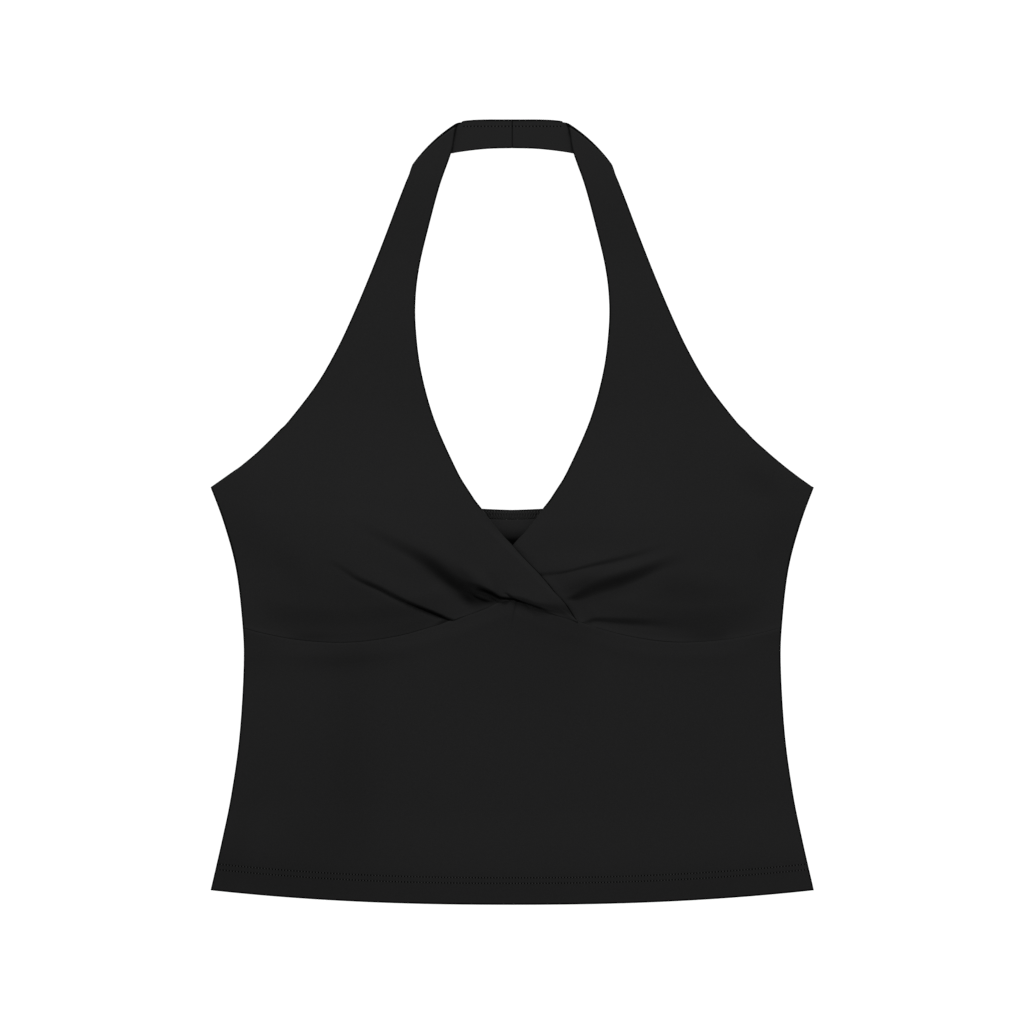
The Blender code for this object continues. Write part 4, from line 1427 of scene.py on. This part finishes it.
@dataclass(frozen=True)
class Value:
    """A number that changes over a surface, for writing shader maths as expressions."""

    recipe: "Recipe"
    socket: bpy.types.NodeSocket

    __add__ = __radd__ = operator("ADD")
    __sub__, __rsub__ = operator("SUBTRACT"), operator("SUBTRACT", swapped=True)
    __mul__ = __rmul__ = operator("MULTIPLY")
    __truediv__, __pow__, __abs__ = operator("DIVIDE"), operator("POWER"), operator("ABSOLUTE")

    def cycle(self, length: float) -> "Value":
        """Returns a wave between 0 and 1 that repeats over a length."""
        return self.recipe.maths("SINE", self * (2 * math.pi / length)) * 0.5 + 0.5

    def clamped(self) -> "Value":
        """Returns the value held between 0 and 1."""
        return self.recipe.maths("MAXIMUM", self.recipe.maths("MINIMUM", self, 1.0), 0.0)


def grey(level: float) -> Row:
    """Returns a grey as a colour."""
    return (level, level, level, 1.0)


class Recipe:
    """The nodes of one material."""

    def __init__(self, name: str) -> None:
        """Starts a material with an empty set of nodes."""
        self.material = bpy.data.materials.new(name)
        self.material.use_nodes = True
        self.tree = self.material.node_tree
        self.tree.nodes.clear()

    def node(self, kind: str, settings: dict | None = None, **sockets: object) -> bpy.types.Node:
        """Adds a node.

        Args:
            kind: the node's type.
            settings: its own settings, set first.
            sockets: values or links of its inputs, by name with _ for a space, or by _number.

        Returns:
            The new node.
        """
        node = self.tree.nodes.new(kind)
        for name, setting in (settings or {}).items():
            setattr(node, name, setting)
        for name, given in sockets.items():
            socket = node.inputs[int(name[1:])] if name[0] == "_" else node.inputs[name.replace("_", " ")]
            source = given.socket if isinstance(given, Value) else given
            if isinstance(source, bpy.types.NodeSocket):
                self.tree.links.new(source, socket)
            else:
                socket.default_value = source
        return node

    def maths(self, operation: str, *values: Value | float) -> Value:
        """Returns the outcome of one Math node."""
        named = {f"_{number}": value for number, value in enumerate(values)}
        return Value(self, self.node("ShaderNodeMath", {"operation": operation}, **named).outputs[0])

    def mix(self, share: Value, low: object, high: object) -> bpy.types.NodeSocket:
        """Returns a colour between two others, each a colour or its link."""
        settings = {"data_type": "RGBA", "blend_type": "MIX"}
        return self.node("ShaderNodeMix", settings, _0=share, _6=low, _7=high).outputs[2]

    def place(self) -> list[Value]:
        """Returns the place on the object in its own metres, along X, Y and Z."""
        where = self.node("ShaderNodeTexCoord").outputs["Object"]
        return [Value(self, part) for part in self.node("ShaderNodeSeparateXYZ", Vector=where).outputs]

    def noise(self, size: float) -> Value:
        """Returns a noise from 0 to 1 whose grains are this size, in millimetres."""
        where = self.node("ShaderNodeTexCoord").outputs["Object"]
        node = self.node("ShaderNodeTexNoise", None, Vector=where, Scale=1 / (size * MM), Detail=2.0)
        return Value(self, node.outputs[0])

    def depth(self) -> Value:
        """Returns the painted shade that darkens the cloth in its creases and on its rims."""
        return Value(self, self.node("ShaderNodeAttribute", {"attribute_name": "depth"}).outputs["Fac"])

    def finish(
        self, colour: object, roughness: object, specular: float, height: Value, bumps: float
    ) -> Material:
        """Ends the material in one cloth shader.

        Args:
            colour: the base colour's link.
            roughness: the roughness or its link.
            specular: how strong the gloss is.
            height: the height that the bumps follow, in millimetres.
            bumps: their strength.

        Returns:
            The material.
        """
        bumped = self.node("ShaderNodeBump", None, Strength=bumps, Distance=MM, Height=height)
        looks = {"Base_Color": colour, "Roughness": roughness, "Specular_IOR_Level": specular}
        shader = self.node("ShaderNodeBsdfPrincipled", None, Normal=bumped.outputs["Normal"], **looks)
        self.node("ShaderNodeOutputMaterial", None, Surface=shader.outputs["BSDF"])
        return self.material


class HoleRow(NamedTuple):
    """A row of needle holes, along the hem or straight across."""

    up: float
    pitch: float
    half: float
    along_hem: bool = True
    radius: float = 0.62


@dataclass(frozen=True)
class KnitFinish:
    """Black double knit: fine ribs of loops, matt, its rib tops a little lighter as painted light, with
    painted shade in creases, rims and needle holes.
    """

    name: str = "black_knit"
    black: float = 0.0151
    lightest: float = 1.35  # how much lighter its lightest places are
    # the near black that painted shade darkens the colour to
    deep: float = 0.0004
    wale: float = 0.62  # from one rib of loops to the next
    course: float = 0.52
    grain: float = 0.8
    cloud: float = 46.0
    hole_noise: float = 9.0  # size of the noise that changes how dark the needle holes are painted and how deep they sink
    roughness: float = 0.85
    specular: float = 0.05
    bumps: float = 0.9
    loop_high: float = 0.05
    hole_deep: float = 0.15
    hole_rows: tuple[HoleRow, ...] = ()
    pattern: Pattern = Pattern()

    def holes(self, recipe: Recipe, x: Value, y: Value) -> Value | float:
        """Finds the needle holes of the sewn rows.

        Args:
            recipe: the material.
            x, y: the place, in millimetres.

        Returns:
            1 in a hole, and 0 away from them.
        """
        mask: Value | float = 0.0
        pattern = self.pattern
        lift = (abs(x) / pattern.hem_half) ** pattern.hem_curve * (pattern.hem_lift - pattern.hem_low)
        above_hem = y + (pattern.length / 2 - pattern.hem_low) - lift
        above_lowest = y + pattern.length / 2
        for row in self.hole_rows:
            off = (above_hem if row.along_hem else above_lowest) - row.up
            beat = recipe.maths("PINGPONG", x, row.pitch / 2)
            distance = (off * off + beat * beat) ** 0.5
            hole = (2.0 - distance * 2.0 / row.radius).clamped()
            mask = mask + hole * ((row.half - abs(x)) * 2.0).clamped()
        return mask

    def make(self) -> Material:
        """Makes the material."""
        recipe = Recipe(self.name)
        x, y = (metres / MM for metres in recipe.place()[:2])
        rib = x.cycle(self.wale)
        loop = recipe.maths("SINE", y * (2 * math.pi / self.course) + rib * 1.2) * 0.5 + 0.5
        grain, cloud, depth = recipe.noise(self.grain), recipe.noise(self.cloud), recipe.depth()
        height = (rib * 0.6 + loop * 0.4) * self.loop_high + grain * 0.05
        # the painted shade, a little uneven with the grain
        shade = (depth * (0.9 + grain * 0.2)).clamped()
        if self.hole_rows:
            # needle holes painted dark, as shade in them, and sunk by the bumps
            holes = self.holes(recipe, x, y) * (0.75 + recipe.noise(self.hole_noise) * 0.6)
            shade, height = (shade + holes).clamped(), height - holes * self.hole_deep
        # rib * 0.1 paints the rib tops lighter, as light on them; grain and cloud are the knit's own tone
        tone = 0.68 + grain * 0.3 + rib * 0.1 + (cloud - 0.5) * 0.05
        light = self.black * self.lightest
        lit = recipe.mix(tone, grey(0.0), (light, light, self.black * (self.lightest + 0.01), 1.0))
        roughness = (self.roughness + (grain - 0.5) * 0.14 + depth * 0.1).clamped()
        # the colour darkens towards the near black by that painted shade
        colour = recipe.mix(shade, lit, grey(self.deep))
        return recipe.finish(colour, roughness, self.specular, height, self.bumps)


@dataclass(frozen=True)
class ElasticFinish:
    """Black elastic: close cords across the band, with painted shade in its grooves and towards its sides."""

    name: str = "black_elastic"
    black: float = 0.0198
    cord: float = 0.9
    weave: float = 0.45
    grain: float = 0.5
    roughness: float = 0.8
    specular: float = 0.05
    bumps: float = 0.8

    def make(self) -> Material:
        """Makes the material."""
        recipe = Recipe(self.name)
        x, y, _ = recipe.place()
        cords, weave = y.cycle(self.cord * MM), x.cycle(self.weave * MM)
        grain = recipe.noise(self.grain)
        # cords and weave paint shade into the grooves between them; the painted shade attribute darkens the
        # sides
        tone = (0.45 + cords * 0.35 + weave * 0.1 + grain * 0.2) * (1.0 - recipe.depth())
        roughness = self.roughness + (grain - 0.5) * 0.2
        height = cords * 0.08 + weave * 0.03 + grain * 0.03
        colour = recipe.mix(tone, grey(0.0), grey(self.black))
        return recipe.finish(colour, roughness, self.specular, height, self.bumps)


@dataclass(frozen=True)
class ThreadFinish:
    """Black sewing thread: two plies, slightly brighter than the cloth."""

    name: str = "black_thread"
    black: float = 0.075
    ply: float = 0.5
    fuzz: float = 0.3
    roughness: float = 0.7
    specular: float = 0.1
    bumps: float = 0.7

    def make(self) -> Material:
        """Makes the material."""
        recipe = Recipe(self.name)
        x, y, z = recipe.place()
        plies = (x + y + z).cycle(self.ply * MM)
        fuzz = recipe.noise(self.fuzz)
        # plies * 0.3 paints shade into the grooves between the plies
        colour = recipe.mix(0.6 + plies * 0.3 + fuzz * 0.2, grey(0.0), grey(self.black))
        roughness = self.roughness + (fuzz - 0.5) * 0.2
        return recipe.finish(colour, roughness, self.specular, plies * 0.05 + fuzz * 0.03, self.bumps)


@dataclass(frozen=True)
class Studio:
    """The pale floor, the soft lights and the camera."""

    shown_wide: float = 682.67  # what the image spans
    lens: float = 300.0
    sensor: float = 36.0
    centre: tuple[float, float, float] = (-0.167, -0.17, 3.0)
    sees_to: float = 100.0  # in metres
    floor_half: float = 30000.0
    floor_drop: float = 0.3
    floor_grain: float = 60.0
    floor_bright: float = 0.9
    floor_change: float = 0.02
    floor_rough: float = 0.9
    floor_gloss: float = 0.1
    ambient: float = 0.4
    key_from: tuple[float, float, float] = (0.0, 3.2, 1.45)  # lamps' places and sizes are in metres
    key_size: float = 0.9
    key_power: float = 100.0
    wash_from: tuple[float, float, float] = (0.0, 0.0, 6.0)
    wash_size: float = 4.0
    wash_power: float = 380.0

    def floor(self) -> Piece:
        """Lays the floor."""
        recipe = Recipe("pale_floor")
        grain = recipe.noise(self.floor_grain)
        bright = self.floor_bright + (grain - 0.5) * self.floor_change
        colour = recipe.mix(bright, grey(0.0), grey(1.0))
        finish = recipe.finish(colour, self.floor_rough, self.floor_gloss, grain * 0.0, 0.0)
        turns = ((-1, -1), (1, -1), (1, 1), (-1, 1))
        corners = [(x * self.floor_half, y * self.floor_half, -self.floor_drop) for x, y in turns]
        places = np.array(corners) + (0.0, Pattern.length / 2, 0.0)
        floor = make_piece("floor", places, [(0, 1, 2, 3)], finish)
        return floor

    def lamp(self, name: str, place: Row, size: float, power: float, lit: Sequence[Piece]) -> Piece:
        """Hangs a square lamp that faces the middle of the garment.

        Args:
            name: its name.
            place: where it hangs.
            size: its side.
            power: its power, in watts.
            lit: the only pieces that it lights.

        Returns:
            The new lamp.
        """
        light = bpy.data.lights.new(name, "AREA")
        light.size, light.energy = size, power
        lamp = bpy.data.objects.new(name, light)
        lamp.location = place
        lamp.rotation_euler = (-Vector(place)).to_track_quat("-Z", "Y").to_euler()
        lamp.visible_camera = False
        bpy.context.scene.collection.objects.link(lamp)
        lamp.light_linking.receiver_collection = bpy.data.collections.new(f"lit_by_{name}")
        for piece in lit:
            lamp.light_linking.receiver_collection.objects.link(piece)
        return lamp

    def light(self, floor: Piece, garment: Sequence[Piece]) -> None:
        """Lights the garment from above its neck, and the floor evenly.

        Args:
            floor: the floor.
            garment: the pieces of the garment.
        """
        world = bpy.data.worlds.new("studio")
        world.use_nodes = True
        background = world.node_tree.nodes["Background"]
        background.inputs["Color"].default_value = grey(1.0)
        background.inputs["Strength"].default_value = self.ambient
        bpy.context.scene.world = world
        self.lamp("key", self.key_from, self.key_size, self.key_power, garment)
        wash = self.lamp("floor_wash", self.wash_from, self.wash_size, self.wash_power, [floor])
        wash.light_linking.blocker_collection = wash.light_linking.receiver_collection

    def camera(self) -> None:
        """Sets up the camera, which looks straight down."""
        camera = bpy.data.cameras.new("camera")
        camera.lens, camera.sensor_width, camera.clip_end = self.lens, self.sensor, self.sees_to
        across, along, high = (value * MM for value in self.centre)
        stand = bpy.data.objects.new("camera", camera)
        stand.location = (across, along, high + self.shown_wide * MM * self.lens / self.sensor)
        bpy.context.scene.collection.objects.link(stand)
        bpy.context.scene.camera = stand
        bpy.context.scene.view_settings.view_transform = "Standard"


@dataclass
class HalterTop:
    """The whole garment."""

    pattern: Pattern = field(default_factory=Pattern)
    pieces: list[Piece] = field(default_factory=list)
    neck_row_up: float = 518.6
    neck_row_half: float = 33.0
    neck_pitch: float = 2.3
    looper_half: float = 192.0
    looper_black: float = 0.029
    looper_radius: float = 0.17
    hem_radius: float = 0.11
    neck_radius: float = 0.085
    line_step: float = 0.5
    hem_off_side: float = 0.8
    hem_under: float = 0.12  # how far up into the cloth the hem's rows are, on its underside

    def add(self, piece: Piece, slot: str, *nodes: str) -> Piece:
        """Joins a piece to the garment.

        Args:
            piece: the new piece.
            slot: not used.
            nodes: the solids that it stands for.

        Returns:
            The piece.
        """
        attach(piece, "root")
        if nodes:
            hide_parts(*nodes)
        self.pieces.append(piece)
        LOG.info("%s: %d faces", piece.name, len(piece.data.polygons))
        return piece

    def line(self, half: float, up: Callable[[Field], Field]) -> Field:
        """Returns the line of a row of stitches, close together."""
        across = np.arange(-half, half, self.line_step)
        return np.column_stack([across, up(across)])

    def build(self) -> None:
        pattern = self.pattern
        lie, straps = Lie(pattern), StrapPattern()
        neck_holes = HoleRow(self.neck_row_up, self.neck_pitch, self.neck_row_half, along_hem=False)
        hem_holes = tuple(HoleRow(row, StitchRow.pitch, pattern.hem_half) for row in HEM_ROWS)
        knit = KnitFinish(hole_rows=(neck_holes,)).make()
        hemmed_knit = KnitFinish(name="black_knit_hemmed", hole_rows=hem_holes).make()
        elastic, thread = ElasticFinish().make(), ThreadFinish().make()
        midriff, band = Midriff(pattern, lie), ElasticBand(pattern, lie)

        back_piece = self.add(BackPanel(pattern, lie).build(hemmed_knit), "knit", "back_panel")
        band_piece = self.add(band.build(elastic), "elastic", "back_elastic_band")
        midriff_piece = self.add(midriff.build(hemmed_knit), "knit", "midriff_front")
        left_piece = self.add(LeftFront(pattern, lie, straps).build(knit), "knit", "left_front")
        right_piece = self.add(RightFront(pattern, lie, straps).build(knit), "knit", "right_front")

        hem = Thread("hem_stitches_front", self.hem_radius)
        under_hem = Thread("hem_stitches_back", self.hem_radius)
        for row in HEM_ROWS:
            half = float(pattern.side_half(pattern.hem_lift + row)) - self.hem_off_side
            line = self.line(half, lambda across: pattern.hem_up(across) + row)
            StitchRow().sew(hem, line, midriff.top_rise)
            StitchRow().sew(under_hem, line, lambda a, u: np.full(a.shape, self.hem_under), Face.UNDER)
        front_hem, back_hem = (self.add(rows.build(thread), "knit") for rows in (hem, under_hem))

        loops = Thread("elastic_looper_threads", self.looper_radius)
        LooperRow().sew(loops, self.looper_half, pattern, band.lies_at + band.thick)
        looper_finish = ThreadFinish("black_looper_thread", self.looper_black).make()
        looper = self.add(loops.build(looper_finish), "elastic")

        neck = Thread("neck_band_stitches", self.neck_radius)
        line = self.line(self.neck_row_half, lambda across: np.full(across.shape, self.neck_row_up))
        StitchRow(pitch=self.neck_pitch).sew(neck, line, lambda a, u: np.full(a.shape, lie.lined))
        neck_stitches = self.add(neck.build(thread), "knit")


def main() -> None:
    """Builds the garment and the studio."""
    logging.basicConfig(level=logging.INFO, format="%(name)s %(message)s")
    top = HalterTop()
    top.build()
    studio = Studio()
    studio.light(studio.floor(), top.pieces)
    studio.camera()


if __name__ == "__main__":
    main()
